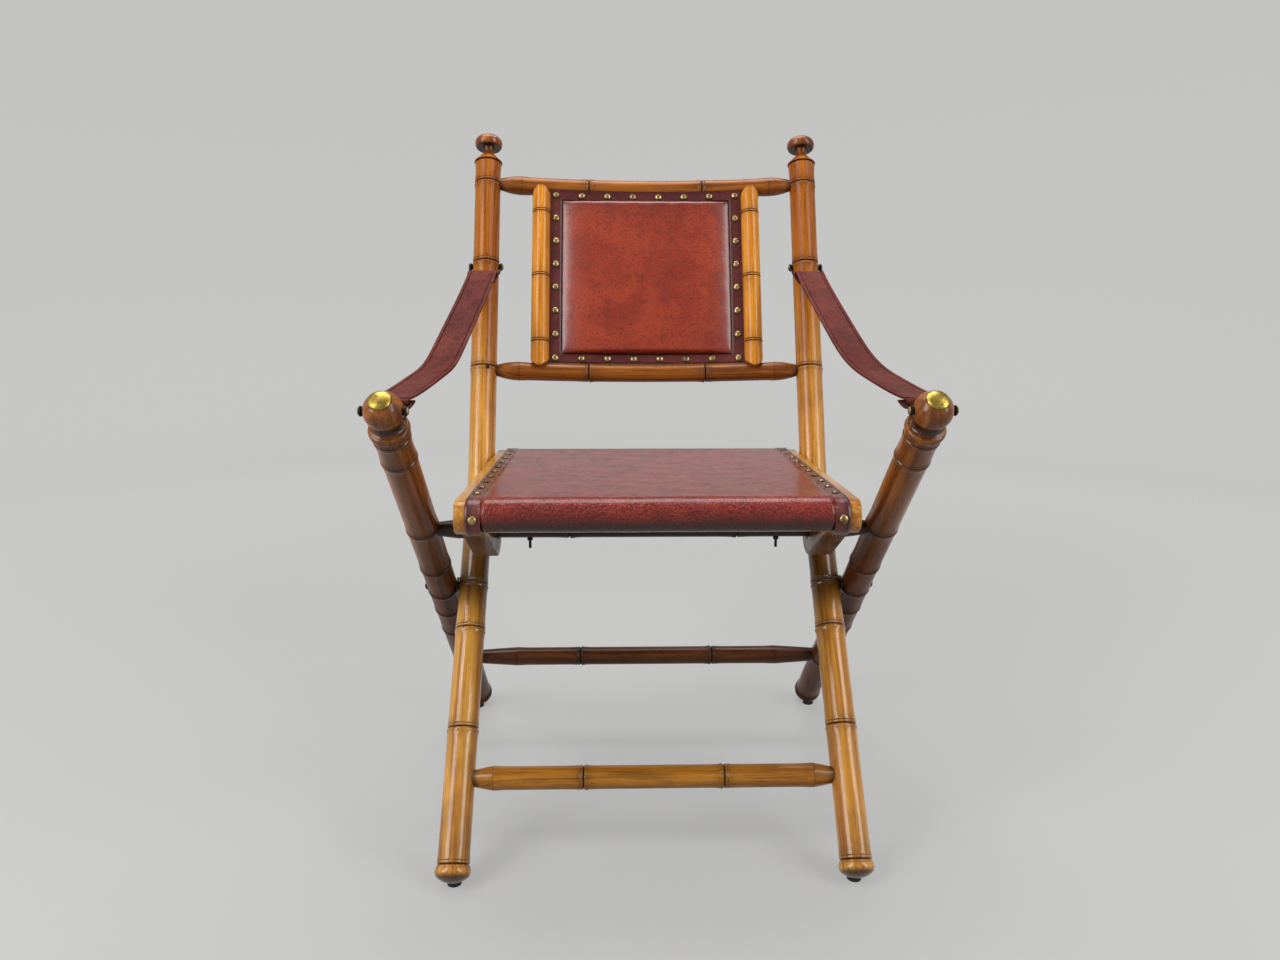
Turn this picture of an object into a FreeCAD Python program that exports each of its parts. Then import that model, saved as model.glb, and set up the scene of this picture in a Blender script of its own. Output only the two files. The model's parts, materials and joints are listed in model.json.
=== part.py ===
"""Folding campaign armchair: two crossed frames of turned wood with a leather seat, back and arm straps.

Millimetres, +Z up, the front of the chair faces -Y and its left side is -X. The model is drawn
from the lower end of the front posts' axes, with its floor a little above that, and is moved at the
end so that the origin lies on the floor under the middle of the chair.
"""
import FreeCAD, Part
import math
import os

# Layout of the two crossed frames, seen from the side
POST_SPREAD = 476.0
KINK_REACH = 551.0
ARM_REACH = 801.3
FEET_SPREAD = 539.0
FRONT_LEAN = 38.6
BACK_LEAN = 21.2
ARM_LEAN = 44.3
BEND_RADIUS = 100.0

# Clearances
FIT = 0.1
RUNNING_FIT = 0.08
SEAT_GAP = 0.3
OVERRUN = 60.0

# Turned posts
BACK_POST_DIA = 39.0
ARM_POST_DIA = 40.0
POST_GAP = 2.0
GROOVE_DEPTH = 1.4
GROOVE_HALF = 1.5
WAIST = 0.7
FLARE = 16.0
FLARE_MOST_SHARE = 0.33
FOOT_SWELL = 1.5
FRONT_FOOT_REACH = 32.0
FOOT_END_SHARE = 0.6
FOOT_CORNER_SHARE = 0.39
GLIDE_HEIGHT = 4.0
GLIDE_CUP = 5.0
GLIDE_RADIUS = 8.5
GLIDE_SHIFT_SHARE = 0.8
FOOT_RING_RISE = 8.0
UPPER_RING_SHARES = (0.316, 0.627)
LOWER_RING_SHARES = (0.359, 0.5925)
ARM_RING_SHARES = (0.387, 0.463, 0.609, 0.725, 0.903)
COLLAR_BELOW_BALL = 40.0

# Post shoulder and finial
SHOULDER_BELOW_CAP = 20.0
SHOULDER_FLANGE = 13.0
SHOULDER_LIP = 1.4
SHOULDER_TOP_RADIUS = 10.5
SHOULDER_CHAMFER = 11.0
NECK_RADIUS = 8.5
CAP_RADIUS = 20.6
CAP_RISE = 13.0
CAP_UNDERSIDE = 7.5
CAP_UNDERSIDE_RADIUS = 16.5
CROWN_RADIUS = 15.5
CROWN_RISE = 4.6
CAP_BULGE_SHARE = 0.33
CAP_UNDERSIDE_BULGE = 1.2
FINIAL_TENON_RADIUS = 6.5
FINIAL_TENON_LENGTH = 22.0

# Arm ball, its collar and the brass disc
BALL_RADIUS = 20.6
BALL_NECK_RADIUS = 14.0
COLLAR_PROUD = 2.0
COLLAR_LIP_RISE = 14.0
COLLAR_BEAD_RISE = 10.5
COLLAR_FOOT_RISE = 5.0
COLLAR_DISH_RISE = 18.0
COLLAR_BULGE_SHARE = 0.125
DISC_RADIUS = 12.2
DISC_CROWN = 4.5

# Cross members
BACK_RAIL_DIA = 27.5
BACK_RAIL_END_DIA = 17.0
BACK_RAIL_TAPER = 32.0
BACK_RAIL_BOW = 15.0
TOP_RAIL_REACH = 449.5
CAP_ABOVE_TOP_RAIL = 66.0
BOTTOM_RAIL_REACH = 159.0
FRONT_STRETCHER_DIA = 29.3
FRONT_STRETCHER_REACH = 137.5
REAR_STRETCHER_DIA = 28.5
REAR_STRETCHER_REACH = 185.5
SEAT_RAIL_DIA = 23.5
SEAT_RAIL_REACH = 571.5
SEAT_RAIL_END_DIA = 17.5
STRETCHER_END_DIA = 20.5
STRETCHER_TAPER = 23.0
REAR_TAPER = 60.0
BACK_RAIL_BULGE_SHARE = 0.25
STRETCHER_BULGE_SHARE = 0.04
TENON_DEPTH = 22.0
RAIL_GROOVE_SHARE = 0.394
RAIL_PIN_SHARE = 0.58
RAIL_PIN_RADIUS = 1.7
RAIL_PIN_DROP = 12.5
RAIL_PIN_COLLAR_RADIUS = 3.4
RAIL_PIN_COLLAR_HEIGHT = 2.6
LOCK_PIN_RADIUS = 2.2
LOCK_PIN_LENGTH = 16.0
LOCK_PIN_PROUD = 1.6

# Pivots
PIVOT_SHANK_RADIUS = 4.0
PIVOT_HEAD_RADIUS = 6.0
PIVOT_HEAD_HEIGHT = 3.2
PIVOT_NUT_RADIUS = 7.5
PIVOT_NUT_HEIGHT = 4.0
PIVOT_NUT_RECESS = 1.6
PIVOT_WASHER_RADIUS = 11.0
SEAT_PIVOT_ABOVE_RAIL = 37.9
SEAT_PIVOT_RADIUS = 4.5
SEAT_PIVOT_HEAD_RADIUS = 8.0
SEAT_PIVOT_HEAD_HEIGHT = 3.0
SEAT_PIVOT_SOCKET = 14.0

# Seat frame, measured from the seat pivot along and square to the seat
SEAT_SLOPE = 1.5
SEAT_FRONT = 352.0
SEAT_REAR = 37.0
BOARD_TOP = 18.0
BOARD_HEIGHT = 38.0
BOARD_WIDTH = 29.0
BOARD_SIDE_GAP = 0.8
BOARD_NOSE_RADIUS = 18.0
SLOT_CLEARANCE = 0.4
SLOT_SAG = 1.6
HOOK_FRONT_RUN = 105.0
HOOK_LIP_DEPTH = 14.0
HOOK_REAR_RUN = 52.0

# Leather and its wooden rails on the seat
BAND_WIDTH = 17.0
BAND_THICKNESS = 2.0
SEAT_LEATHER = 3.0
SEAT_PROUD = 2.5
SEAT_RAIL_SHY = 2.0
SEAT_CROSS_DEPTH = 30.0
SEAT_ROLL_RADIUS = 18.0
SEAT_TENON_WIDTH = 16.0
SEAT_TENON_HEIGHT = 12.0
SEAT_TENON_LENGTH = 12.0
SEAT_REAR_INSET = 2.0
SIDE_FIT = 0.2
SEAT_NAILS = 10
SEAT_NAIL_RADIUS = 4.0
SEAT_NAIL_RISE = 2.2
FRONT_NAIL_RADIUS = 5.2
FRONT_NAIL_RISE = 3.0
NAIL_END_SHARE = 0.06

# Back panel and its slats
SLAT_SPREAD = 314.0
SLAT_WIDTH = 26.7
SLAT_DEPTH = 12.0
SLAT_BACK = -1.0
SLAT_UNDER_TOP = 4.5
SLAT_OVER_BOTTOM = 4.0
SLAT_POINT = 14.0
SLAT_RING_SHARES = (0.143, 0.5, 0.857)
PANEL_UNDER_SLAT = 4.6
PANEL_CORE = 8.0
PANEL_LEATHER = 1.8
BORDER_WIDTH = 17.0
PAD_RISE = 9.0
PAD_ROUND = 6.0
REAR_COVER_INSET = 8.0
BACK_NAIL_ROWS = 8
BACK_NAIL_RADIUS = 4.8
BACK_NAIL_RISE = 2.8

# Arm straps and the bails that hold them
STRAP_WIDTH = 41.0
STRAP_THICKNESS = 5.0
STRAP_SAG = 33.0
STRAP_LOOP = 2.5
BAIL_BAR_RADIUS = 2.5
BAIL_WIRE_RADIUS = 1.3
BAIL_CLEAR = 0.6
BAIL_EYE_RADIUS = 5.5
BAIL_EYE_THICKNESS = 2.8
BALL_BAIL_CLEAR = 8.4
BALL_BAIL_UP = 4.0
POST_BAIL_REACH = 295.5
POST_BAIL_RIVET_RISE = 22.5
POST_BAIL_CLEAR = 6.5
RIVET_RADIUS = 2.0
RIVET_HEAD_RADIUS = 4.2
RIVET_HEAD_RISE = 2.0
RIVET_DEPTH = 9.0

# Values worked out from the sizes above
HALF_SPREAD = POST_SPREAD / 2
BACK_REACH = TOP_RAIL_REACH + CAP_ABOVE_TOP_RAIL
BACK_RADIUS = BACK_POST_DIA / 2
ARM_RADIUS = ARM_POST_DIA / 2
ARM_HALF_SPREAD = HALF_SPREAD + BACK_RADIUS + ARM_RADIUS + POST_GAP
COLLAR_RADIUS = ARM_RADIUS + COLLAR_PROUD
BAIL_HALF = max(BALL_RADIUS, BACK_RADIUS, STRAP_WIDTH / 2) + BAIL_CLEAR + BAIL_EYE_THICKNESS / 2
DIAGONAL_SHARE = math.sin(math.radians(45))
LOWER = (FRONT_LEAN, 0, 0)
KINK_Y = KINK_REACH * math.sin(math.radians(FRONT_LEAN))
KINK_Z = KINK_REACH * math.cos(math.radians(FRONT_LEAN))
UPPER = (BACK_LEAN, KINK_Y, KINK_Z)
ARM = (-ARM_LEAN, FEET_SPREAD, 0)
BEND_TANGENT = BEND_RADIUS * math.tan(math.radians(FRONT_LEAN - BACK_LEAN) / 2)
FRONT_LEAN_COS = math.cos(math.radians(FRONT_LEAN))
ARM_LEAN_COS = math.cos(math.radians(ARM_LEAN))
CROSSING_REACH = FEET_SPREAD * ARM_LEAN_COS / math.sin(math.radians(FRONT_LEAN + ARM_LEAN))
ARM_CROSSING_REACH = CROSSING_REACH * FRONT_LEAN_COS / ARM_LEAN_COS
BACK_HALF = HALF_SPREAD - BACK_RADIUS
ARM_HALF = ARM_HALF_SPREAD - ARM_RADIUS
BOARD_BOTTOM = BOARD_TOP - BOARD_HEIGHT
BOARD_OUTER = BACK_HALF - BOARD_SIDE_GAP
BOARD_INNER = BOARD_OUTER - BOARD_WIDTH
SHOULDER_REACH = BACK_REACH - SHOULDER_BELOW_CAP
BOW_RADIUS = (BACK_HALF ** 2 + BACK_RAIL_BOW ** 2) / (2 * BACK_RAIL_BOW)
PANEL_HALF = (SLAT_SPREAD - SLAT_WIDTH) / 2 + PANEL_UNDER_SLAT
PANEL_BOTTOM = BOTTOM_RAIL_REACH + BACK_RAIL_DIA / 2 + FIT
PANEL_TOP = TOP_RAIL_REACH - BACK_RAIL_DIA / 2 - FIT
PANEL_FACE = PANEL_CORE / 2
BORDER_FACE = PANEL_FACE + PANEL_LEATHER
INNER_HALF = PANEL_HALF - PANEL_UNDER_SLAT - BORDER_WIDTH
INNER_BOTTOM = PANEL_BOTTOM + BORDER_WIDTH
INNER_TOP = PANEL_TOP - BORDER_WIDTH
SIDES = (("left", -1), ("right", 1))


def vec(x, y, z):
    return FreeCAD.Vector(x, y, z)


def line(start, end):
    return Part.LineSegment(start, end).toShape()


def arc(start, middle, end):
    return Part.Arc(start, middle, end).toShape()


def local_point(frame, y, z):
    """Y and Z in the chair of a point given in a leaning frame."""
    lean = math.radians(frame[0])
    across = frame[1] + y * math.cos(lean) + z * math.sin(lean)
    up = frame[2] - y * math.sin(lean) + z * math.cos(lean)
    return across, up


def placed(shape, frame):
    """The shape, drawn upright, moved into a leaning frame."""
    moved = shape.copy()
    moved.rotate(vec(0, 0, 0), vec(1, 0, 0), -frame[0])
    moved.translate(vec(0, frame[1], frame[2]))
    return moved


def moved_by(shape, x, y, z):
    moved = shape.copy()
    moved.translate(vec(x, y, z))
    return moved


def box(x_range, y_range, z_range):
    size = [high - low for low, high in (x_range, y_range, z_range)]
    return Part.makeBox(size[0], size[1], size[2], vec(x_range[0], y_range[0], z_range[0]))


def along_x(radius, x_from, x_to, y, z):
    """Round bar along X between two places."""
    low = min(x_from, x_to)
    return Part.makeCylinder(radius, abs(x_to - x_from), vec(low, y, z), vec(1, 0, 0))


def revolved(edges):
    """Solid of revolution about Z from edges that run from the axis out and back to the axis."""
    on_axis = [vertex.Point for edge in edges for vertex in edge.Vertexes if vertex.X < FIT]
    heights = [point.z for point in on_axis]
    wire = Part.Wire(edges + [line(vec(0, 0, max(heights)), vec(0, 0, min(heights)))])
    return Part.Face(wire).revolve(vec(0, 0, 0), vec(0, 0, 1), 360)


def profile(points):
    """Edges through points of (radius, height), where a third value bulges the edge that ends there."""
    edges = []
    for start, end in zip(points, points[1:]):
        first = vec(start[0], 0, start[1])
        last = vec(end[0], 0, end[1])
        if len(end) == 3:
            run = last - first
            outward = vec(run.z, 0, -run.x)
            outward.normalize()
            edges.append(arc(first, (first + last) / 2 + outward * end[2], last))
        else:
            edges.append(line(first, last))
    return edges


def shaft_points(bottom, top, radius, rings):
    """Outline of a turned shaft: a groove at each ring, a swelling beside it and a slight waist between."""
    stations = [bottom] + sorted(rings) + [top]
    points = [(radius, bottom)]
    for low, high in zip(stations, stations[1:]):
        start = low if low == bottom else low + GROOVE_HALF
        end = high if high == top else high - GROOVE_HALF
        flare = min(FLARE, (end - start) * FLARE_MOST_SHARE)
        points += [(radius, start), (radius - WAIST, start + flare)]
        points += [(radius - WAIST, end - flare), (radius, end)]
        if high != top:
            points.append((radius - GROOVE_DEPTH, high))
    return points[1:]


def foot_shape(radius):
    """Widest radius of a foot, its depth below that, and the corner and crown arcs that round it off."""
    ball = radius + FOOT_SWELL
    depth = ball * FOOT_END_SHARE
    corner = ball * FOOT_CORNER_SHARE
    lift = ((ball - corner) ** 2 - (depth - corner) ** 2) / (2 * (depth - corner))
    return ball, depth, corner, lift, math.atan2(ball - corner, lift)


def foot_support(lean, radius):
    """How high a leaning foot's widest ring stands over its lowest point, and how far behind it that lies."""
    ball, depth, corner, lift, joint = foot_shape(radius)
    tilt = math.radians(abs(lean))
    if tilt > joint:
        height = (ball - corner) * math.sin(tilt) + corner
        behind = (ball - corner) * math.cos(tilt)
    else:
        height = lift + depth - lift * math.cos(tilt)
        behind = lift * math.sin(tilt)
    return height, math.copysign(behind, lean)


FLOOR = FRONT_FOOT_REACH * FRONT_LEAN_COS - foot_support(FRONT_LEAN, BACK_RADIUS)[0] - GLIDE_HEIGHT
REAR_FOOT_REACH = (FLOOR + GLIDE_HEIGHT + foot_support(ARM_LEAN, ARM_RADIUS)[0]) / ARM_LEAN_COS


def foot_points(centre, radius):
    """Foot of a leaning post, widest at a place on its axis and rounded off flat below it."""
    ball, depth, corner, lift, joint = foot_shape(radius)
    crown = lift + depth
    crown_ends = [
        vec(crown * math.sin(angle), 0, centre + lift - crown * math.cos(angle))
        for angle in (0, joint / 2, joint)
    ]
    corner_turn = (joint + math.pi / 2) / 2
    inner = ball - corner
    bend = vec(inner + corner * math.sin(corner_turn), 0, centre - corner * math.cos(corner_turn))
    ring = centre + FOOT_RING_RISE
    edges = [arc(crown_ends[0], crown_ends[1], crown_ends[2]), arc(crown_ends[2], bend, vec(ball, 0, centre))]
    edges += profile([(ball, centre), (radius, ring - GROOVE_HALF, GROOVE_DEPTH / 2)])
    groove = [(radius, ring - GROOVE_HALF), (radius - GROOVE_DEPTH, ring), (radius, ring + GROOVE_HALF)]
    edges += profile(groove)
    return edges, ring + GROOVE_HALF


def glide(frame, centre, radius, post):
    """Rubber glide cupped round the lowest point of a post's rounded foot."""
    y = local_point(frame, 0, centre)[0] + foot_support(frame[0], radius)[1] * GLIDE_SHIFT_SHARE
    return Part.makeCylinder(GLIDE_RADIUS, GLIDE_HEIGHT + GLIDE_CUP, vec(0, y, FLOOR)).cut(post)


def crown_edge(radius, base, rise):
    """Arc centred on the axis from (radius, base) up to the axis, for a spherical crown."""
    sphere = (rise ** 2 + radius ** 2) / (2 * rise)
    centre = base + rise - sphere
    half_angle = math.asin(radius / sphere) / 2
    middle = vec(sphere * math.sin(half_angle), 0, centre + sphere * math.cos(half_angle))
    return arc(vec(radius, 0, base), middle, vec(0, 0, base + rise))


def dome(radius, rise):
    """Round nail head on the XY plane, bulging along +Z."""
    return revolved([line(vec(0, 0, 0), vec(radius, 0, 0)), crown_edge(radius, 0, rise)])


def facing(shape, direction, place):
    """A shape drawn on +Z, turned to face a direction and moved to a place."""
    turned = shape.copy()
    turned.Placement = FreeCAD.Placement(place, FreeCAD.Rotation(vec(0, 0, 1), direction))
    return turned


# Turned posts

def back_post():
    """Kinked post on the middle plane: a straight lower length, a steam-bent kink and an upper length."""
    foot, start = foot_points(FRONT_FOOT_REACH, BACK_RADIUS)
    end = KINK_REACH - BEND_TANGENT
    rings = [share * KINK_REACH for share in LOWER_RING_SHARES] + [CROSSING_REACH]
    edges = foot + profile(shaft_points(start, end, BACK_RADIUS, rings) + [(0, end)])
    lower = placed(revolved(edges), LOWER)
    disc = Part.Face(Part.Wire(Part.makeCircle(BACK_RADIUS, vec(0, 0, end), vec(0, 0, 1))))
    bend = disc.revolve(vec(0, -BEND_RADIUS, end), vec(1, 0, 0), FRONT_LEAN - BACK_LEAN)
    flange = SHOULDER_REACH - SHOULDER_FLANGE
    rings = [share * BACK_REACH for share in UPPER_RING_SHARES] + [TOP_RAIL_REACH]
    lip = BACK_RADIUS + SHOULDER_LIP
    shoulder = [(BACK_RADIUS, flange), (lip, flange + SHOULDER_LIP)]
    shoulder += [(lip, SHOULDER_REACH - SHOULDER_CHAMFER), (SHOULDER_TOP_RADIUS, SHOULDER_REACH)]
    shoulder += [(0, SHOULDER_REACH)]
    edges = profile([(0, BEND_TANGENT), (BACK_RADIUS, BEND_TANGENT)])
    edges += profile(shaft_points(BEND_TANGENT, flange, BACK_RADIUS, rings)) + profile(shoulder)
    upper = placed(revolved(edges), UPPER)
    return lower.fuse([placed(bend, LOWER), upper]).removeSplitter()


def arm_post():
    """Straight post on the middle plane, with a dished collar and a ball turned on its upper end."""
    foot, start = foot_points(REAR_FOOT_REACH, ARM_RADIUS)
    collar = ARM_REACH - COLLAR_BELOW_BALL
    rings = [share * ARM_REACH for share in ARM_RING_SHARES]
    rings += [ARM_CROSSING_REACH, REAR_STRETCHER_REACH, collar]
    edges = foot + profile(shaft_points(start, collar + COLLAR_FOOT_RISE, ARM_RADIUS, rings))
    bulge = (COLLAR_LIP_RISE - COLLAR_FOOT_RISE) * COLLAR_BULGE_SHARE
    ball_foot = ARM_REACH - math.sqrt(BALL_RADIUS ** 2 - BALL_NECK_RADIUS ** 2)
    seat = ARM_REACH + math.sqrt(BALL_RADIUS ** 2 - DISC_RADIUS ** 2)
    cup = [(ARM_RADIUS, collar + COLLAR_FOOT_RISE), (COLLAR_RADIUS, collar + COLLAR_BEAD_RISE, -bulge)]
    cup += [(ARM_RADIUS, collar + COLLAR_LIP_RISE, bulge), (BALL_NECK_RADIUS, collar + COLLAR_DISH_RISE)]
    cup += [(BALL_NECK_RADIUS, ball_foot)]
    edges += profile(cup)
    neck = vec(BALL_NECK_RADIUS, 0, ball_foot)
    edges.append(arc(neck, vec(BALL_RADIUS, 0, ARM_REACH), vec(DISC_RADIUS, 0, seat)))
    edges += profile([(DISC_RADIUS, seat), (0, seat)])
    return placed(revolved(edges), ARM), seat


def finial():
    """Mushroom cap on a neck, with a tenon that goes down into the post."""
    edges = profile([
        (0, SHOULDER_REACH - FINIAL_TENON_LENGTH),
        (FINIAL_TENON_RADIUS, SHOULDER_REACH - FINIAL_TENON_LENGTH),
        (FINIAL_TENON_RADIUS, SHOULDER_REACH),
        (NECK_RADIUS, SHOULDER_REACH),
        (NECK_RADIUS, BACK_REACH - CAP_UNDERSIDE),
        (CAP_UNDERSIDE_RADIUS, BACK_REACH - CAP_UNDERSIDE),
        (CAP_RADIUS, BACK_REACH, CAP_UNDERSIDE_BULGE),
        (CROWN_RADIUS, BACK_REACH + CAP_RISE - CROWN_RISE, CROWN_RISE * CAP_BULGE_SHARE),
    ])
    edges.append(crown_edge(CROWN_RADIUS, BACK_REACH + CAP_RISE - CROWN_RISE, CROWN_RISE))
    return placed(revolved(edges), UPPER)


def finial_socket():
    length = FINIAL_TENON_LENGTH + FIT
    bore = Part.makeCylinder(FINIAL_TENON_RADIUS + FIT, length, vec(0, 0, SHOULDER_REACH - length))
    return placed(bore, UPPER)


# Cross members, drawn along X

def rail_end(radius, end_radius, taper, length, bulge_share, spare=0):
    """Tapered end of a turned rail along +Z; with some spare it is the tool that cuts its socket."""
    bulge = (radius - end_radius) * bulge_share
    points = [(0, 0), (radius + spare, 0), (end_radius + spare, taper, bulge)]
    points += [(end_radius + spare, length + spare), (0, length + spare)]
    return revolved(profile(points))


def rail(half, dia, end_dia, taper, bow=0):
    """Turned rail with two grooves, and the pair of tools that cut its sockets."""
    radius = dia / 2
    end_radius = end_dia / 2
    reach = half - taper
    length = taper + TENON_DEPTH
    curve = BOW_RADIUS if bow else 0
    share = BACK_RAIL_BULGE_SHARE if bow else STRETCHER_BULGE_SHARE
    turn = math.asin(reach / curve) if bow else 0
    y_end = bow - curve * (1 - math.cos(turn))
    if bow:
        disc = Part.Face(Part.Wire(Part.makeCircle(radius, vec(0, bow, 0), vec(1, 0, 0))))
        disc.rotate(vec(0, bow - curve, 0), vec(0, 0, 1), math.degrees(turn))
        body = disc.revolve(vec(0, bow - curve, 0), vec(0, 0, 1), -2 * math.degrees(turn))
    else:
        body = along_x(radius, -reach, reach, 0, 0)
    tools = []
    ends = []
    for side in (-1, 1):
        direction = vec(side * math.cos(turn), -math.sin(turn), 0)
        place = vec(side * reach, y_end, 0)
        ends.append(facing(rail_end(radius, end_radius, taper, length, share), direction, place))
        tools.append(facing(rail_end(radius, end_radius, taper, length, share, FIT), direction, place))
    solid = body.fuse(ends).removeSplitter()
    for side in (-1, 1):
        x = side * RAIL_GROOVE_SHARE * half
        angle = math.asin(x / curve) if bow else 0
        y = bow - curve * (1 - math.cos(angle))
        along = vec(math.cos(angle), -math.sin(angle), 0)
        solid = solid.cut(Part.makeTorus(radius, GROOVE_DEPTH, vec(x, y, 0), along))
    return solid, tools


def rail_surface(offset):
    """Upright cylinder whose face lies so far in front of the bowed centre line of the back rails."""
    centre = vec(0, BACK_RAIL_BOW - BOW_RADIUS, 0)
    return Part.makeCylinder(BOW_RADIUS - offset, TOP_RAIL_REACH + OVERRUN, centre)


def bowed_slab(x_half, front, back, bottom, top):
    """Slab that follows the bow of the back rails, between two offsets in front of their centre."""
    blank = box((-x_half, x_half), (-OVERRUN, OVERRUN), (bottom, top))
    return blank.common(rail_surface(back)).cut(rail_surface(front))


def back_rail(reach):
    solid, tools = rail(BACK_HALF, BACK_RAIL_DIA, BACK_RAIL_END_DIA, BACK_RAIL_TAPER, BACK_RAIL_BOW)
    moved = [placed(moved_by(piece, 0, 0, reach), UPPER) for piece in [solid] + tools]
    return moved[0], moved[1:]


def straight_rail(frame, reach, half, dia, end_dia, taper):
    solid, tools = rail(half, dia, end_dia, taper)
    y, z = local_point(frame, 0, reach)
    moved = [moved_by(piece, 0, y, z) for piece in [solid] + tools]
    return moved[0], moved[1:]


# Back panel, drawn upright in the frame of the upper posts

def back_core():
    return bowed_slab(PANEL_HALF, PANEL_FACE, -PANEL_FACE, PANEL_BOTTOM, PANEL_TOP)


def back_border():
    frame = bowed_slab(PANEL_HALF, BORDER_FACE, PANEL_FACE + FIT, PANEL_BOTTOM, PANEL_TOP)
    return frame.cut(box((-INNER_HALF, INNER_HALF), (-OVERRUN, OVERRUN), (INNER_BOTTOM, INNER_TOP)))


def back_pad():
    """Leather pad inside the border: its back follows the bow and its flat front gives it a crown."""
    edge = BACK_RAIL_BOW - BOW_RADIUS + math.sqrt((BOW_RADIUS - PANEL_FACE) ** 2 - INNER_HALF ** 2)
    front = edge - PAD_RISE
    half = INNER_HALF - SIDE_FIT
    blank = box((-half, half), (front, OVERRUN), (INNER_BOTTOM + SIDE_FIT, INNER_TOP - SIDE_FIT))
    rim = [edge for edge in blank.Edges if edge.BoundBox.YMax < front + FIT]
    blank = blank.makeFillet(PAD_ROUND, rim)
    return blank.common(rail_surface(PANEL_FACE + FIT))


def back_rear_cover():
    inset = REAR_COVER_INSET
    back = -PANEL_FACE - PANEL_LEATHER
    return bowed_slab(PANEL_HALF - inset, -PANEL_FACE - FIT, back, PANEL_BOTTOM + inset, PANEL_TOP - inset)


def back_nails():
    """Domed nails round the border, as many on each side as along the top and bottom."""
    half = INNER_HALF + BORDER_WIDTH / 2
    low = PANEL_BOTTOM + BORDER_WIDTH / 2
    high = PANEL_TOP - BORDER_WIDTH / 2
    last = BACK_NAIL_ROWS - 1
    places = []
    for index in range(BACK_NAIL_ROWS):
        share = index / last
        x = -half + 2 * half * share
        places += [(x, low), (x, high)]
        if 0 < index < last:
            z = low + (high - low) * share
            places += [(-half, z), (half, z)]
    head = dome(BACK_NAIL_RADIUS, BACK_NAIL_RISE)
    inner = BOW_RADIUS - BORDER_FACE
    heads = []
    for x, z in places:
        angle = math.asin(x / inner)
        place = vec(x, BACK_RAIL_BOW - BOW_RADIUS + inner * math.cos(angle), z)
        skirt = BACK_NAIL_RADIUS ** 2 / (2 * inner)
        direction = vec(-math.sin(angle), -math.cos(angle), 0)
        heads.append(facing(head, direction, place + direction * (skirt + FIT / 2)))
    return heads


def slat():
    """Half-round slat with pointed ends, flat behind, saddled over the two back rails."""
    half = SLAT_WIDTH / 2
    low = BOTTOM_RAIL_REACH + SLAT_OVER_BOTTOM
    high = TOP_RAIL_REACH - SLAT_UNDER_TOP
    radius = (half ** 2 + SLAT_DEPTH ** 2) / (2 * SLAT_DEPTH)
    centre = SLAT_BACK - SLAT_DEPTH + radius
    rod = Part.makeCylinder(radius, high - low, vec(0, centre, low))
    points = [(-half, low + SLAT_POINT), (0, low), (half, low + SLAT_POINT)]
    points += [(half, high - SLAT_POINT), (0, high), (-half, high - SLAT_POINT)]
    corners = [vec(x, -OVERRUN, z) for x, z in points]
    wire = Part.Wire([line(a, b) for a, b in zip(corners, corners[1:] + corners[:1])])
    plan = Part.Face(wire).extrude(vec(0, OVERRUN + SLAT_BACK, 0))
    solid = rod.common(plan)
    for share in SLAT_RING_SHARES:
        for offset in (-GROOVE_HALF, GROOVE_HALF):
            place = vec(0, centre, low + (high - low) * share + offset)
            solid = solid.cut(Part.makeTorus(radius, GROOVE_DEPTH / 2, place))
    return solid


# Seat, drawn level in the frame of its pivot

def back_axis_at(z):
    """Place on the back post's axis at a height, above or below its kink."""
    if z < KINK_Z:
        return z * math.tan(math.radians(FRONT_LEAN)), z
    return KINK_Y + (z - KINK_Z) * math.tan(math.radians(BACK_LEAN)), z


RAIL_PLACE = local_point(ARM, 0, SEAT_RAIL_REACH)
SEAT_PIVOT = back_axis_at(RAIL_PLACE[1] + SEAT_PIVOT_ABOVE_RAIL)
SEAT = (SEAT_SLOPE, SEAT_PIVOT[0], SEAT_PIVOT[1])


def seat_local(y, z):
    """Place in the seat's frame of a point given in the chair."""
    slope = math.radians(SEAT_SLOPE)
    run = y - SEAT_PIVOT[0]
    rise = z - SEAT_PIVOT[1]
    return run * math.cos(slope) - rise * math.sin(slope), run * math.sin(slope) + rise * math.cos(slope)


RAIL_IN_SEAT = seat_local(RAIL_PLACE[0], RAIL_PLACE[1])
SLOT_RADIUS = SEAT_RAIL_DIA / 2 + SLOT_CLEARANCE


def side_profile(grow=0):
    """Outline of a side board without its hook, grown by a band's thickness where asked."""
    top = BOARD_TOP + grow
    bottom = BOARD_BOTTOM - grow
    front = -SEAT_FRONT - grow
    nose = BOARD_NOSE_RADIUS + grow
    share = nose * (1 - DIAGONAL_SHARE)
    upper = arc(vec(0, front + nose, top), vec(0, front + share, top - share), vec(0, front, top - nose))
    low_middle = vec(0, front + share, bottom + share)
    lower = arc(vec(0, front, bottom + nose), low_middle, vec(0, front + nose, bottom))
    return upper, lower, front, nose, top, bottom


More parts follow.
